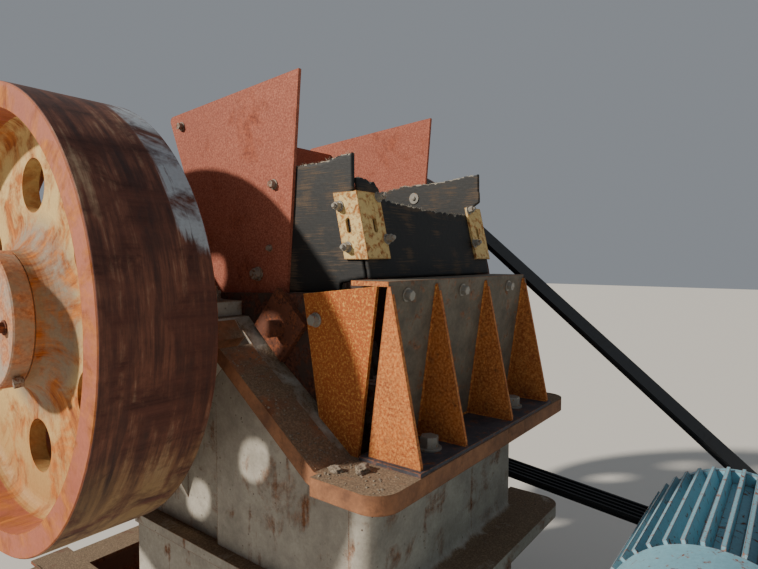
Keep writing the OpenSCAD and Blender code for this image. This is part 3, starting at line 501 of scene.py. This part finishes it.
# %% Rubber, belt, motor and worn steel
def belt_rubber(name, dark, dust, line_mm, dusty):
    """Black rubber with level scrapes line_mm high, dust lying in the dusty share of them."""
    made, add, shader, place = blank(name)
    level = add("ShaderNodeMapping", {"Vector": place, "Scale": (0.03, 0.03, 1.0)}).outputs["Vector"]
    scrape = add(NOISE, {"Vector": level, "Scale": per_metre(line_mm), "Detail": 8.0, "Roughness": 0.7})
    cloud = add(NOISE, {"Vector": place, "Scale": per_metre(90), "Detail": 5.0})
    mask = add(MATH, {0: scrape, 1: cloud}, operation="ADD")
    mask = add(RANGE, {"Value": mask, "From Min": 1.16 - 0.3 * dusty, "From Max": 1.30 - 0.3 * dusty})
    grain = add(NOISE, {"Vector": place, "Scale": per_metre(2.5), "Detail": 4.0})
    mask = add(MATH, {0: mask, 1: grain}, operation="MULTIPLY")
    colour = add(MIX, {0: mask, 6: dark, 7: dust})
    rough = add(RANGE, {"Value": mask, "To Min": 0.62, "To Max": 0.95})
    relief = add("ShaderNodeBump", {"Strength": 0.5, "Distance": 0.8 * MM, "Height": scrape}).outputs["Normal"]
    shader.inputs["Specular IOR Level"].default_value = 0.35
    return wired(made, shader, colour, rough, relief)


# conveyor belting, scraped level by sliding rock
skirt_rubber = belt_rubber("skirt_rubber", "#222324", "#6b5845", 3.0, 0.42)
# pale cotton plies that show where the belting is torn
ply_cotton = belt_rubber("ply_cotton", "#8f887b", "#b7ad9a", 1.5, 0.9)
# the drive belt, clean and black where it runs
drive_rubber = belt_rubber("drive_rubber", "#15171a", "#3b3a38", 6.0, 0.2)
# light blue paint on the motor's castings, with rust freckles on the fins' edges
motor_blue = weathered("motor_blue", ("#6f9fb0", "#86b6c6"), ("#6f3c26", "#a0603c"), 0.24, 22, runs=0.04,
                       edge=4, gloss=0.45, pits=0.3)
# manganese steel polished by rock on its ridges
jaw_steel = weathered("jaw_steel", ("#6e6258", "#877a6e"), ("#4d3326", "#7e5238"), 0.45, 50, edge=6, gloss=0.5)
# plain steel of the shaft, rod, spring, toggle and motor sheave
dark_steel = weathered("dark_steel", ("#4b4641", "#625b53"), ("#4a2c20", "#7a4a30"), 0.42, 45, edge=4,
                       grit=GRIT, gloss=0.6)

# %% [markdown]
# A CAD node keeps its mesh, and only its material slot is filled.

# %% Finishes on the CAD nodes
FINISH = {
    "frame_": frame_paint, "bearing_cap": frame_paint, "wing_plate": wing_rust, "hopper_rear_plate": wing_rust,
    "hopper_front_wall": hopper_wall, "hopper_left_side": hopper_side, "hopper_right_side": hopper_side,
    "cheek_plate": cheek_steel, "cheek_clamp": clamp_rust, "jaw_die": jaw_steel, "lock_ring": ring_rust,
    "flywheel": wheel_coat, "drive_sheave": wheel_coat, "eccentric_shaft": dark_steel, "pitman": frame_paint,
    "toggle": dark_steel, "tension": dark_steel, "corner_angle": angle_paint, "rubber_skirt": skirt_rubber,
    "drive_belt": drive_rubber, "motor_sheave": dark_steel, "motor_stand": skid_rust, "motor_": motor_blue,
    "skid_": skid_rust,
}
FIRST = ["lock_ring", "motor_sheave", "motor_stand"]    # their names hold another key too
ORDER = FIRST + [key for key in FINISH if key not in FIRST]
for name, solid in frame["nodes"].items():
    key = next(k for k in ORDER if k in name)
    solid.data.materials.clear()
    solid.data.materials.append(FINISH[key])
print(len(frame["nodes"]), "nodes finished with", len({id(m) for m in FINISH.values()}), "materials")

# %% [markdown]
# ## Fastenings
# A bolt is modelled once and placed many times. Geometry Nodes does the
# placing: a source mesh has one vertex for each bolt, and each vertex carries
# the direction that the bolt points in and its size. The tree turns the part to
# that direction, gives it a chance turn about its own axis, scales it, and makes
# real geometry of the result. The same tree places nuts, screws, loose rocks and
# the beads of a weld.

# %% A tree that sets a part on every vertex
def new_tree(name, inputs):
    """A Geometry Nodes tree with these inputs; returns it, their identifiers, its node function and them."""
    tree = bpy.data.node_groups.new(name, "GeometryNodeTree")
    sockets = {}
    for label, kind in inputs.items():
        made = tree.interface.new_socket(label, in_out="INPUT", socket_type="NodeSocket" + kind)
        sockets[label] = made.identifier
    tree.interface.new_socket("Geometry", in_out="OUTPUT", socket_type="NodeSocketGeometry")
    add = partial(node, tree)
    return tree, sockets, add, add("NodeGroupInput").outputs


def end_tree(add, instances, finish):
    """Real geometry of the instances, with its finish, is what the tree gives."""
    real = add("GeometryNodeRealizeInstances", {"Geometry": instances}).outputs["Geometry"]
    done = add("GeometryNodeSetMaterial", {"Geometry": real, "Material": finish}).outputs["Geometry"]
    add("NodeGroupOutput", {"Geometry": done})


def build_setter():
    """Part on every vertex: direction from "aim", size from "size", and a seeded turn about the aim."""
    inputs = {"Points": "Geometry", "Part": "Object", "Finish": "Material", "Seed": "Int", "Turn": "Float",
              "Spread": "Float"}
    tree, sockets, add, given = new_tree("set_parts", inputs)
    aim, size = (add("GeometryNodeInputNamedAttribute", {"Name": label}, data_type="FLOAT_VECTOR").outputs[0]
                 for label in ("aim", "size"))
    part = add("GeometryNodeObjectInfo", {"Object": given["Part"]}).outputs["Geometry"]
    stand = add("FunctionNodeAlignRotationToVector", {"Vector": aim}, axis="Z").outputs["Rotation"]
    # the float sockets of Random Value share their names with the vector ones, so they go by number
    chance = {2: 0.0, 3: given["Turn"], "Seed": given["Seed"]}
    chance = add("FunctionNodeRandomValue", chance, data_type="FLOAT")
    about = {"Axis": (0.0, 0.0, 1.0), "Angle": chance.outputs[1]}
    about = add("FunctionNodeAxisAngleToRotation", about).outputs["Rotation"]
    turned = {"Rotation": stand, "Rotate By": about}
    turned = add("FunctionNodeRotateRotation", turned, rotation_space="LOCAL").outputs["Rotation"]
    low = add(MATH, {0: 1.0, 1: given["Spread"]}, operation="SUBTRACT")
    high = add(MATH, {0: 1.0, 1: given["Spread"]}, operation="ADD")
    vary = add("FunctionNodeRandomValue", {2: low, 3: high, "Seed": given["Seed"]}, data_type="FLOAT")
    scale = add(VECTOR_MATH, {0: size, "Scale": vary.outputs[1]}, operation="SCALE")
    points = add("GeometryNodeMeshToPoints", {"Mesh": given["Points"]}).outputs["Points"]
    each = {"Points": points, "Instance": part, "Rotation": turned, "Scale": scale}
    end_tree(add, add("GeometryNodeInstanceOnPoints", each).outputs["Instances"], given["Finish"])
    return tree, sockets


SETTER, SETTER_INPUTS = build_setter()


def plain_mesh(name, holder):
    """What the object's modifier makes, as a plain mesh; the object itself goes."""
    bpy.context.view_layer.update()
    mesh = bpy.data.meshes.new_from_object(holder.evaluated_get(bpy.context.evaluated_depsgraph_get()))
    mesh.name = name
    bpy.data.objects.remove(holder)
    return mesh


def grown(name, source, tree, sockets, part, values):
    """Run a tree on a source mesh, with a part for it to place, and return the mesh that it makes."""
    holder, template = in_scene(name + "_source", source), bpy.data.objects.new(name + "_part", part)
    modifier = holder.modifiers.new("grow", "NODES")
    modifier.node_group = tree
    for label, value in {"Part": template, **values}.items():
        modifier[sockets[label]] = value
    mesh = plain_mesh(name, holder)
    bpy.data.objects.remove(template)
    return mesh


def finished(name, mesh, finish, body):
    """Make an object of a mesh, give it its finish and put it on a body."""
    piece = in_scene(name, mesh)
    mesh.materials.clear()
    mesh.materials.append(finish)
    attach(piece, body)
    print(f"{name}: {sum(len(p.vertices) - 2 for p in mesh.polygons)} triangles on {body}")
    return piece


def set_parts(name, part, places, finish, body, seed=1, turn=math.tau, spread=0.0):
    """places holds (point, direction, size), size in metres or as a vector; returns one realised piece."""
    source = bpy.data.meshes.new(name)
    source.from_pydata([p for p, _, _ in places], [], [])
    aims = source.attributes.new("aim", "FLOAT_VECTOR", "POINT")
    sizes = source.attributes.new("size", "FLOAT_VECTOR", "POINT")
    for i, (_, aim, size) in enumerate(places):
        aims.data[i].vector = Vector(aim)
        sizes.data[i].vector = Vector(size if hasattr(size, "__len__") else (size, size, size))
    values = {"Finish": finish, "Seed": seed, "Turn": turn, "Spread": spread}
    return finished(name, grown(name, source, SETTER, SETTER_INPUTS, part, values), finish, body)


# %% [markdown]
# The parts themselves are turned shapes with a few flats. A lathe function
# turns a profile, given as radius and height, and takes the number of sides:
# six for a hexagon, thirty for something round. Every part is 1 unit across,
# stands on its seat at height zero and points along +Z. Threads are rings of a
# zigzag profile, which at this size can't be told from a helix.

# %% Bolts, nuts and screws
def lathe(profile, sides, start=0.0):
    """Turn (radius, height) points about Z, closed with a fan at each end."""
    verts, faces = [], []
    for r, z in profile:
        for k in range(sides):
            turn = start + math.tau * k / sides
            verts.append((r * math.cos(turn), r * math.sin(turn), z))
    for i in range(len(profile) - 1):
        for k in range(sides):
            n = (k + 1) % sides
            faces.append((i * sides + k, i * sides + n, (i + 1) * sides + n, (i + 1) * sides + k))
    faces.append(tuple(reversed(range(sides))))
    faces.append(tuple((len(profile) - 1) * sides + k for k in range(sides)))
    return verts, faces


def one_mesh(name, *shapes):
    """Several (verts, faces) lists as one mesh, faces outward."""
    verts, faces = [], []
    for v, f in shapes:
        faces += [tuple(i + len(verts) for i in face) for face in f]
        verts += v
    mesh = bpy.data.meshes.new(name)
    mesh.from_pydata(verts, [], faces)
    work = bmesh.new()
    work.from_mesh(mesh)
    bmesh.ops.recalc_face_normals(work, faces=work.faces)
    work.to_mesh(mesh)
    work.free()
    return mesh


FLATS = 0.5 / math.cos(math.pi / 6)           # corner radius of a hexagon 1 unit across its flats
washer = lathe([(0.72, 0), (0.74, 0.02), (0.74, 0.12), (0.71, 0.14)], 30)
plate_washer = lathe([(0.98, 0), (1.0, 0.02), (1.0, 0.12), (0.96, 0.14)], 30)
hex_head = lathe([(FLATS, 0.14), (FLATS, 0.70), (FLATS * 0.93, 0.77), (0.36, 0.78)], 6)
hex_nut = lathe([(FLATS, 0.14), (FLATS, 0.88), (FLATS * 0.92, 0.95), (0.36, 0.96)], 6)
thread = [(0.31 + (0.02 if i % 2 else -0.02), 0.9 + 0.05 * i) for i in range(9)]
stud = lathe(thread + [(0.24, 1.38)], 20)
square_head = [(0.30, 0), (0.30, 0.35), (0.70, 0.40), (0.70, 1.05), (0.62, 1.14), (0.30, 1.15)]
square_head = lathe(square_head, 4, math.pi / 4)

bolt_mesh = one_mesh("hex_bolt", washer, hex_head)
nut_mesh = one_mesh("hex_nut", washer, hex_nut, stud)
screw_mesh = one_mesh("square_screw", square_head)
round_head = lathe([(0.34, 0.14), (0.40, 0.18), (0.36, 0.34), (0.18, 0.42)], 24)
washer_mesh = one_mesh("washer_bolt", plate_washer, round_head)
print("bolt", len(bolt_mesh.polygons), "nut", len(nut_mesh.polygons), "faces")

# %% [markdown]
# The hopper bolts hold a liner that has worn away. Their washers lie flat on a
# panel that leans out by 7.8 degrees, so the direction they point in leans too.
# Everything here is placed in millimetres from the shaft's centre, and sits on
# the face of the CAD node that carries it.

# %% Bolts on the hopper, wings and corner angles
LEAN = math.radians(7.8)
PANEL_OUT = Vector((0, -math.cos(LEAN), -math.sin(LEAN)))
PANEL_FOOT = (-903, -309)                     # the panel's outer face where it meets the base plate: y and z
SKIRT = math.radians(13)
SKIRT_OUT = Vector((0, -math.cos(SKIRT), math.sin(SKIRT)))
SKIRT_FOOT = (-863, 116.2)                    # the front sheet's outer face at its lower edge: y and z
BASE_Z = -299                                 # top of the hopper's base plate
OUT_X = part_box("left_wing_plate")[0].x / MM          # outer face of the near wing
SIDE_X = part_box("hopper_left_side")[0].x / MM
ANGLE_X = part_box("left_corner_angle")[0].x / MM


def panel_y(z):
    """The hopper panel's outer face at a height above the shaft."""
    y, foot = PANEL_FOOT
    return y - (z - foot) * math.tan(LEAN)


def skirt_y(z, proud=8.3):
    """The corner angle's face, this proud of the front sheet's outer face, at a height above the shaft."""
    y, foot = SKIRT_FOOT
    return y + (z - foot) * math.tan(SKIRT) - proud / math.cos(SKIRT)


panel_bolts = [(about_shaft(x, panel_y(80), 80), PANEL_OUT, 23 * MM) for x in (-302, -35, 260)]
base_bolts = [(about_shaft(x, -984, BASE_Z), (0, 0, 1), 42 * MM) for x in (-242, 242)]
set_parts("hopper_bolts", bolt_mesh, panel_bolts + base_bolts, plated_steel, MACHINE, seed=3)

wing_bolts = []
for hand in (1, -1):
    for y, z, size in ((-89, 589, 20), (-527, 369, 20), (-509, 193, 14), (-459, 120, 28)):
        wing_bolts.append((about_shaft(hand * OUT_X, y, z), (-hand, 0, 0), size * MM))
set_parts("plate_bolts", bolt_mesh, wing_bolts, bolt_steel, MACHINE, seed=4)
side_bolts = [(about_shaft(hand * SIDE_X, -734, 11), (-hand, 0, 0), 25 * MM) for hand in (1, -1)]
set_parts("side_plate_bolts", bolt_mesh, side_bolts, plated_steel, MACHINE, seed=4)

angle_nuts = []
for hand in (1, -1):
    for y, z in ((-768, 296), (-796, 193)):
        angle_nuts.append((about_shaft(hand * ANGLE_X, y, z), (-hand, 0, 0), 19 * MM))
    for x, z in ((-242, 322), (-236, 214)):
        angle_nuts.append((about_shaft(hand * x, skirt_y(z), z), SKIRT_OUT, 19 * MM))
set_parts("angle_nuts", nut_mesh, angle_nuts, plated_steel, MACHINE, seed=5)

skirt_washers = [(about_shaft(side * 306, -567, 383), (-side, 0, 0), 20 * MM) for side in (1, -1)]
set_parts("skirt_washers", washer_mesh, skirt_washers, plated_steel, MACHINE, seed=6)

# %% [markdown]
# The larger fastenings hold the castings together: foot bolts down each side of
# the frame, cap bolts on the bearing ears, hold-down bolts in the motor's feet.
# The hub's square-headed screws turn with the wheel, so they ride on the rotor.

# %% Bolts on the frame, the bearings, the motor and the wheels
FOOT_Z, CAP_Z = -1030, 42.3                   # tops of the frame's feet and of the bearing caps' ears
foot_bolts = [(about_shaft(hand * 475, y, FOOT_Z), (0, 0, 1), 44 * MM)
              for hand in (-1, 1) for y in (-971, -760, -390, -20)]
set_parts("foot_bolts", bolt_mesh, foot_bolts, bolt_steel, MACHINE, seed=7)

cap_nuts = [(about_shaft(hand * x, y, CAP_Z), (0, 0, 1), 30 * MM)
            for hand in (-1, 1) for x in (395, 475) for y in (-345, 291)]
set_parts("cap_nuts", nut_mesh, cap_nuts, bolt_steel, MACHINE, seed=8)

MOTOR_Y, MOTOR_Z = -1574, -670                # the motor's axis
FEET_Z = MOTOR_Z - 254 + 29                   # top of its feet: the axis height less, the feet's thickness more
motor_bolts = [(about_shaft(x, MOTOR_Y + s * 205, FEET_Z), (0, 0.24 * s, 1), 20 * MM)
               for x in (30, 395) for s in (-1, 1)]
for k in range(8):
    ring = round_shaft(math.tau * (k + 0.5) / 8)
    spot = about_shaft(507, MOTOR_Y + 206 * ring.y, MOTOR_Z + 206 * ring.z)
    motor_bolts.append((spot, Vector((0.92, 0, 0)) + 0.38 * ring, 15 * MM))
set_parts("motor_bolts", bolt_mesh, motor_bolts, bolt_steel, MACHINE, seed=9)

hub_screws = []
for hand in (-1, 1):
    for degrees in (229, 49):
        out = round_shaft(math.radians(degrees))
        hub_screws.append((about_shaft(hand * 831, 182 * out.y, 182 * out.z), out, 24 * MM))
set_parts("hub_screws", screw_mesh, hub_screws, bolt_steel, ROTOR, seed=10, turn=0.4)

hub_bolts = []
for hand in (-1, 1):
    for k in range(3):
        out = round_shaft(math.radians(184 + 120 * k))
        hub_bolts.append((about_shaft(hand * 857, 128 * out.y, 128 * out.z), (hand, 0, 0), 26 * MM))
set_parts("hub_bolts", bolt_mesh, hub_bolts, clamp_rust, ROTOR, seed=11)

# %% [markdown]
# A weld is a row of overlapping ripples, one for each dab of the rod. So it is
# made the way it was laid: a flattened drop every 4.5 to 6 mm along the seam.
# The drops differ in size by up to a fifth, as they do from any hand, and the
# seam wanders by half a millimetre.

# %% Weld beads
def along(a, b, aim, size, step=4.5, wander=0.5):
    """Places every step mm on the line from a to b, both in mm from the shaft."""
    a, b = Vector(a), Vector(b)
    count = int((b - a).length / step)
    found = []
    for i in range(count + 1):
        stray = Vector([chance.uniform(-wander, wander) for _ in range(3)])
        p = a.lerp(b, i / max(count, 1)) + stray
        found.append((about_shaft(p.x, p.y, p.z), aim, size * MM))
    return found


chance = random.Random(12)
drop_mesh = one_mesh("drop", lathe([(0.80, -0.55), (1.0, 0), (0.78, 0.42), (0.30, 0.62)], 8))
seams = []
# each gusset's free sides, and the way each looks along X
for x, toward in ((-368, 1), (-175, -1), (-165, 1), (97, -1), (107, 1), (368, -1)):
    seams += along((x, panel_y(-294) - 1, -294), (x, panel_y(96) - 1, 96), (toward, -1, 0), 4.6)
    seams += along((x, panel_y(-294) - 4, BASE_Z), (x, -1044, BASE_Z), (toward, 0, 1), 4.6)
panel_foot = panel_y(BASE_Z) - 1
seams += along((-366, panel_foot, BASE_Z + 1), (366, panel_foot, BASE_Z + 1), (0, -1, 1), 5.2)
set_parts("hopper_welds", drop_mesh, seams, hopper_side, MACHINE, seed=13, spread=0.18)

GROUND, BEAM_TOP, FLANGE = -1270, -1070, 14   # the ground, the skid beams' top, their flanges' thickness
BEAM_X, REAR = 500, 630                       # outer end of the rear cross member, and its middle plane
skid_seams = []
for hand in (-1, 1):
    for y in (REAR - 4.5, REAR + 4.5):
        low, high = (hand * BEAM_X, y, GROUND + FLANGE), (hand * BEAM_X, y, BEAM_TOP - FLANGE)
        skid_seams += along(low, high, (hand, 0, 0), 5, step=6)
    end = hand * (BEAM_X + 0.5)
    skid_seams += along((end, REAR - 70, BEAM_TOP), (end, REAR + 70, BEAM_TOP), (0, 0, 1), 5, step=6)
for leg in (-1, 1):
    for lip in (-1, 1):
        y = MOTOR_Y + leg * 170 + lip * 35
        skid_seams += along((-28, y, BEAM_TOP + 2), (360, y, BEAM_TOP + 2), (0, lip, 1), 5, step=6)
set_parts("skid_welds", drop_mesh, skid_seams, skid_rust, MACHINE, seed=14, spread=0.2)

# %% [markdown]
# ## Rubber
# The skirts are pieces of conveyor belt, cut with a saw and torn by rock. The
# CAD sheets have the right outline and thickness but knife-sharp edges. Each is
# copied and remeshed at 4.5 mm, which rounds the edges, then its points are
# moved: a slow wave bends the sheet by a millimetre, a fine one roughens it,
# and near the top a ragged one bites into the edge. The faces along that edge
# get the second finish, the pale cotton plies inside a belt.

# %% Torn rubber sheets
def torn_sheet(name, cad_node, top_edge):
    """A copy of the CAD sheet with torn edges; top_edge(x, y) is the height in mm of its free edge there."""
    piece = in_scene(name, frame["nodes"][cad_node].data.copy())
    remesh = piece.modifiers.new("remesh", "REMESH")
    remesh.mode = "VOXEL"
    remesh.voxel_size = 4.5 * MM
    mesh = plain_mesh(name, piece)

    def from_top(p):
        """How far in metres a point lies below the free edge."""
        return top_edge((p.x - SHAFT.x) / MM, (p.y - SHAFT.y) / MM) * MM + SHAFT.z - p.z

    for v in mesh.vertices:
        p = v.co.copy()
        below = from_top(p)
        bite = max(0.0, 1.0 - below / 0.03) if below > -0.02 else 1.0
        # nicks 11 mm apart and bites 36 mm apart, then roughness of 6 mm and waves of 110 mm
        nick = max(0.0, noise.noise(Vector((p.x, p.y, 0)) * 90)) * 9 * MM
        v.co.z -= bite * (nick + max(0.0, noise.noise(Vector((p.x, p.y, 7)) * 28)) * 10 * MM)
        v.co += noise.noise_vector(p * 160) * 0.5 * MM
        v.co += v.normal * noise.noise(p * 9) * 0.8 * MM
    mesh.materials.clear()
    sheet = finished(name, mesh, skirt_rubber, MACHINE)
    mesh.materials.append(ply_cotton)
    for face in mesh.polygons:
        if face.normal.z > 0.55 and from_top(face.center) < 26 * MM:
            face.material_index = 1
    mesh.shade_smooth()
    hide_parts(cad_node)


def profile(points):
    """Height against one coordinate, straight between the points given."""
    points = sorted(points)

    def height(t):
        if t <= points[0][0]:
            return points[0][1]
        for (a, ha), (b, hb) in zip(points, points[1:]):
            if t <= b:
                return ha + (hb - ha) * (t - a) / (b - a)
        return points[-1][1]
    return height


near_top = profile([(-800, 432), (-679, 415), (-520, 415), (-420, 399)])
far_top = profile([(-824, 451), (-679, 434), (-520, 434), (-420, 418)])
front_top = profile([(-305, 373), (-232, 366), (-206, 326), (-145, 316), (0, 308), (319, 306)])
torn_sheet("near_skirt", "left_rubber_skirt", lambda x, y: near_top(y))
torn_sheet("far_skirt", "right_rubber_skirt", lambda x, y: far_top(y))
torn_sheet("front_skirt", "front_rubber_skirt", lambda x, y: front_top(x))

# %% [markdown]
# Cotton threads stand out of a torn edge in tufts. One bent, tapering thread is
# enough as a part: the tree turns, tilts and scales it into a few hundred.

# %% Frayed threads
def thread_part():
    """A thread one unit long that bends over as it rises."""
    verts, faces = [], []
    for i in range(5):
        t = i / 4
        r = 0.045 * (1 - 0.75 * t)
        turns = [math.tau * k / 4 for k in range(4)]
        verts += [(r * math.cos(a) + 0.45 * t * t, r * math.sin(a), t) for a in turns]
    for i in range(4):
        faces += [(4 * i + k, 4 * i + (k + 1) % 4, 4 * i + 4 + (k + 1) % 4, 4 * i + 4 + k) for k in range(4)]
    faces += [(3, 2, 1, 0), (16, 17, 18, 19)]
    return one_mesh("thread", (verts, faces))


ROOT = 9                                      # a thread starts this far below the edge, in mm
threads = []
for _ in range(260):
    y = chance.uniform(-800, -425)
    for x, edge in ((-312.5, near_top), (312.5, far_top)):
        aim = (chance.uniform(-0.7, 0.7), chance.uniform(-0.6, 0.6), 1)
        root = about_shaft(x + chance.uniform(-5, 5), y, edge(y) - ROOT)
        threads.append((root, aim, chance.uniform(6, 14) * MM))
for _ in range(320):
    x = chance.uniform(-303, 316)
    z = front_top(x)
    root = about_shaft(x, skirt_y(z, 0) + chance.uniform(3, 10), z - ROOT)
    aim = (chance.uniform(-0.7, 0.7), chance.uniform(-0.6, 0.6), 1)
    threads.append((root, aim, chance.uniform(6, 14) * MM))
set_parts("frayed_threads", thread_part(), threads, ply_cotton, MACHINE, seed=15)

# %% [markdown]
# ## Grit
# Crushed stone lies wherever it can. Here Geometry Nodes chooses the places
# itself: it spreads points at random over a patch of ledge, a set number to the
# square metre, and puts a crumb on each. Cubing the chance that sets the size
# gives many small crumbs and few large ones, like sieved stone.

# %% Crumbs of stone on the ledges
def crumb_part(seed, rings=2):
    """A rough stone one unit across."""
    work = bmesh.new()
    bmesh.ops.create_icosphere(work, subdivisions=rings, radius=0.5)
    for v in work.verts:
        lumps = noise.noise(v.co * 2.1 + Vector((seed, 0, 0)))
        v.co += v.co * 0.7 * lumps + v.co * 0.2 * noise.noise(v.co * 6 + Vector((seed, 3, 0)))
        v.co.z *= 0.7
    mesh = bpy.data.meshes.new("crumb")
    work.to_mesh(mesh)
    work.free()
    return mesh


def build_scatter():
    """Crumbs at random over the faces of a patch."""
    inputs = {"Patch": "Geometry", "Part": "Object", "Finish": "Material", "Density": "Float",
              "Largest": "Float", "Seed": "Int"}
    tree, sockets, add, given = new_tree("scatter_crumbs", inputs)
    over = {"Mesh": given["Patch"], "Density": given["Density"], "Seed": given["Seed"]}
    spots = add("GeometryNodeDistributePointsOnFaces", over).outputs["Points"]
    size = add("FunctionNodeRandomValue", {"Seed": given["Seed"]}, data_type="FLOAT").outputs[1]
    size = add(MATH, {0: size, 1: 3.0}, operation="POWER")
    size = add(MATH, {0: size, 1: 0.85, 2: 0.15}, operation="MULTIPLY_ADD")
    size = add(MATH, {0: size, 1: given["Largest"]}, operation="MULTIPLY")
    most = {"Max": (0.6, 0.6, math.tau), "Seed": given["Seed"]}
    turn = add("FunctionNodeRandomValue", most, data_type="FLOAT_VECTOR").outputs[0]
    part = add("GeometryNodeObjectInfo", {"Object": given["Part"]}).outputs["Geometry"]
    each = {"Points": spots, "Instance": part, "Rotation": turn, "Scale": size}
    end_tree(add, add("GeometryNodeInstanceOnPoints", each).outputs["Instances"], given["Finish"])
    return tree, sockets


SCATTER, SCATTER_INPUTS = build_scatter()
# crushed stone, tan and grey
stone = weathered("stone", ("#6f6355", "#94877a"), ("#54493e", "#a3957f"), 0.4, 8, gloss=0.9, pits=0.4)

# the sloping flange, its level corner and the rib below it, four corners each, in mm from the shaft
patches, quads = [], []
for hand in (-1, 1):
    for corners in (((402, -846, -306), (500, -846, -306), (500, -526, -76), (402, -526, -76)),
                    ((402, -1030, -309), (515, -1030, -309), (515, -866, -309), (402, -866, -309)),
                    ((402, -1030, -680), (500, -1030, -680), (500, -925, -680), (402, -925, -680))):
        quads.append(tuple(range(len(patches), len(patches) + 4)))
        patches += [about_shaft(hand * x, y, z) for x, y, z in corners]
patch_mesh = bpy.data.meshes.new("grit_patches")
patch_mesh.from_pydata(patches, [], quads)
values = {"Finish": stone, "Density": 9000.0, "Largest": 9 * MM, "Seed": 21}
grit_mesh = grown("crumbs", patch_mesh, SCATTER, SCATTER_INPUTS, crumb_part(1, rings=1), values)
finished("ledge_grit", grit_mesh, stone, MACHINE)

rocks = [(about_shaft(-437, -932, -303), (0, 0, 1), Vector((44, 30, 26)) * MM),
         (about_shaft(-474, -884, -305), (0, 0, 1), Vector((20, 34, 24)) * MM)]
set_parts("loose_rock", crumb_part(5, rings=4), rocks, stone, MACHINE, seed=2, turn=0.5)

# %% [markdown]
# The motor's fan needs a guard: rings of wire on a dozen spokes, over a thin
# black disc that paints the shade inside the opening. A ring is a small circle
# swept round a large one, which one function writes directly as a mesh.

# %% Fan guard
def ring_mesh(radius, wire, x, sides=48):
    """A wire ring about the motor's axis."""
    verts, faces = [], []
    for i in range(sides):
        a = math.tau * i / sides
        for k in range(6):
            b = math.tau * k / 6
            r = radius + wire * math.cos(b)
            y, z = MOTOR_Y + r * math.cos(a), MOTOR_Z + r * math.sin(a)
            verts.append(tuple(about_shaft(x + wire * math.sin(b), y, z)))
            here, there, n = i * 6, (i + 1) % sides * 6, (k + 1) % 6
            faces.append((here + k, here + n, there + n, there + k))
    return verts, faces


FAN_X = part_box("motor_fan_cover")[0].x / MM
INNER, OUTER = 24, 168                        # the guard's first ring and its outer edge
shapes = [ring_mesh(r, 2.2, FAN_X - 3) for r in range(INNER, OUTER, 16)]
for k in range(12):
    run, across = round_shaft(math.tau * k / 12), round_shaft(math.tau * k / 12 + math.pi / 2)
    centre = Vector((FAN_X - 2, MOTOR_Y, MOTOR_Z))
    corner = [centre + run * r + across * w + Vector((d, 0, 0))
              for r in (INNER, OUTER) for w in (-3, 3) for d in (2, -4)]
    shapes.append(([tuple(about_shaft(*c)) for c in corner],
                   [(0, 1, 3, 2), (4, 6, 7, 5), (0, 4, 5, 1), (2, 3, 7, 6), (0, 2, 6, 4), (1, 5, 7, 3)]))
finished("fan_guard", one_mesh("fan_guard", *shapes), motor_blue, MACHINE)

# painted shade: a black disc behind the guard for the dark inside of the fan cover
disc, disc_faces = lathe([(0.0, 0), (0.166, 0), (0.166, 0.001), (0.0, 0.001)], 48)
disc = [tuple(about_shaft(FAN_X, MOTOR_Y, MOTOR_Z) + Vector((-z, x, y))) for x, y, z in disc]
finished("fan_opening", one_mesh("fan_shadow", (disc, disc_faces)), drive_rubber, MACHINE)

# %% [markdown]
# ## Studio
# The sun of the photograph comes in low from the flywheel's side, rakes the
# wheel's rim and throws the wheel's round shadow on the wing. A sun lamp from
# that side, a little wider than the sun so that its shadows have soft edges,
# keeps this. The rest is an even pale surround.

# %% Light and floor
world = bpy.data.worlds.new("studio")
bpy.context.scene.world = world
world.use_nodes = True
surround = world.node_tree.nodes["Background"].inputs
surround["Color"].default_value = (0.80, 0.86, 0.94, 1)
surround["Strength"].default_value = 0.30

sun_data = bpy.data.lights.new("sun", "SUN")
sun_data.energy = 5.2
sun_data.angle = math.radians(3)
sun_data.color = (1.0, 0.93, 0.82)
sun = in_scene("sun", sun_data)
sun.rotation_euler = Vector((1.0, -0.64, -0.66)).to_track_quat("-Z", "Y").to_euler()

floor_mesh = bpy.data.meshes.new("floor")
floor_mesh.from_pydata([(-30, -30, 0), (30, -30, 0), (30, 30, 0), (-30, 30, 0)], [], [(0, 1, 2, 3)])
floor = in_scene("floor", floor_mesh)
pale, _, floor_shader, _ = blank("studio_floor")
floor_shader.inputs["Base Color"].default_value = srgb("#d8d4cc")
floor_shader.inputs["Roughness"].default_value = 0.9
floor_mesh.materials.append(pale)
floor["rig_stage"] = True
print("sun from the flywheel's side, floor at height 0")

# %% Hand over
size_now = [list(p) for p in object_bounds()]
past = [max(size_now[1][i] - cad_box[1][i], cad_box[0][i] - size_now[0][i]) / MM for i in range(3)]
print("grown by", [round(p, 1) for p in past], "mm")
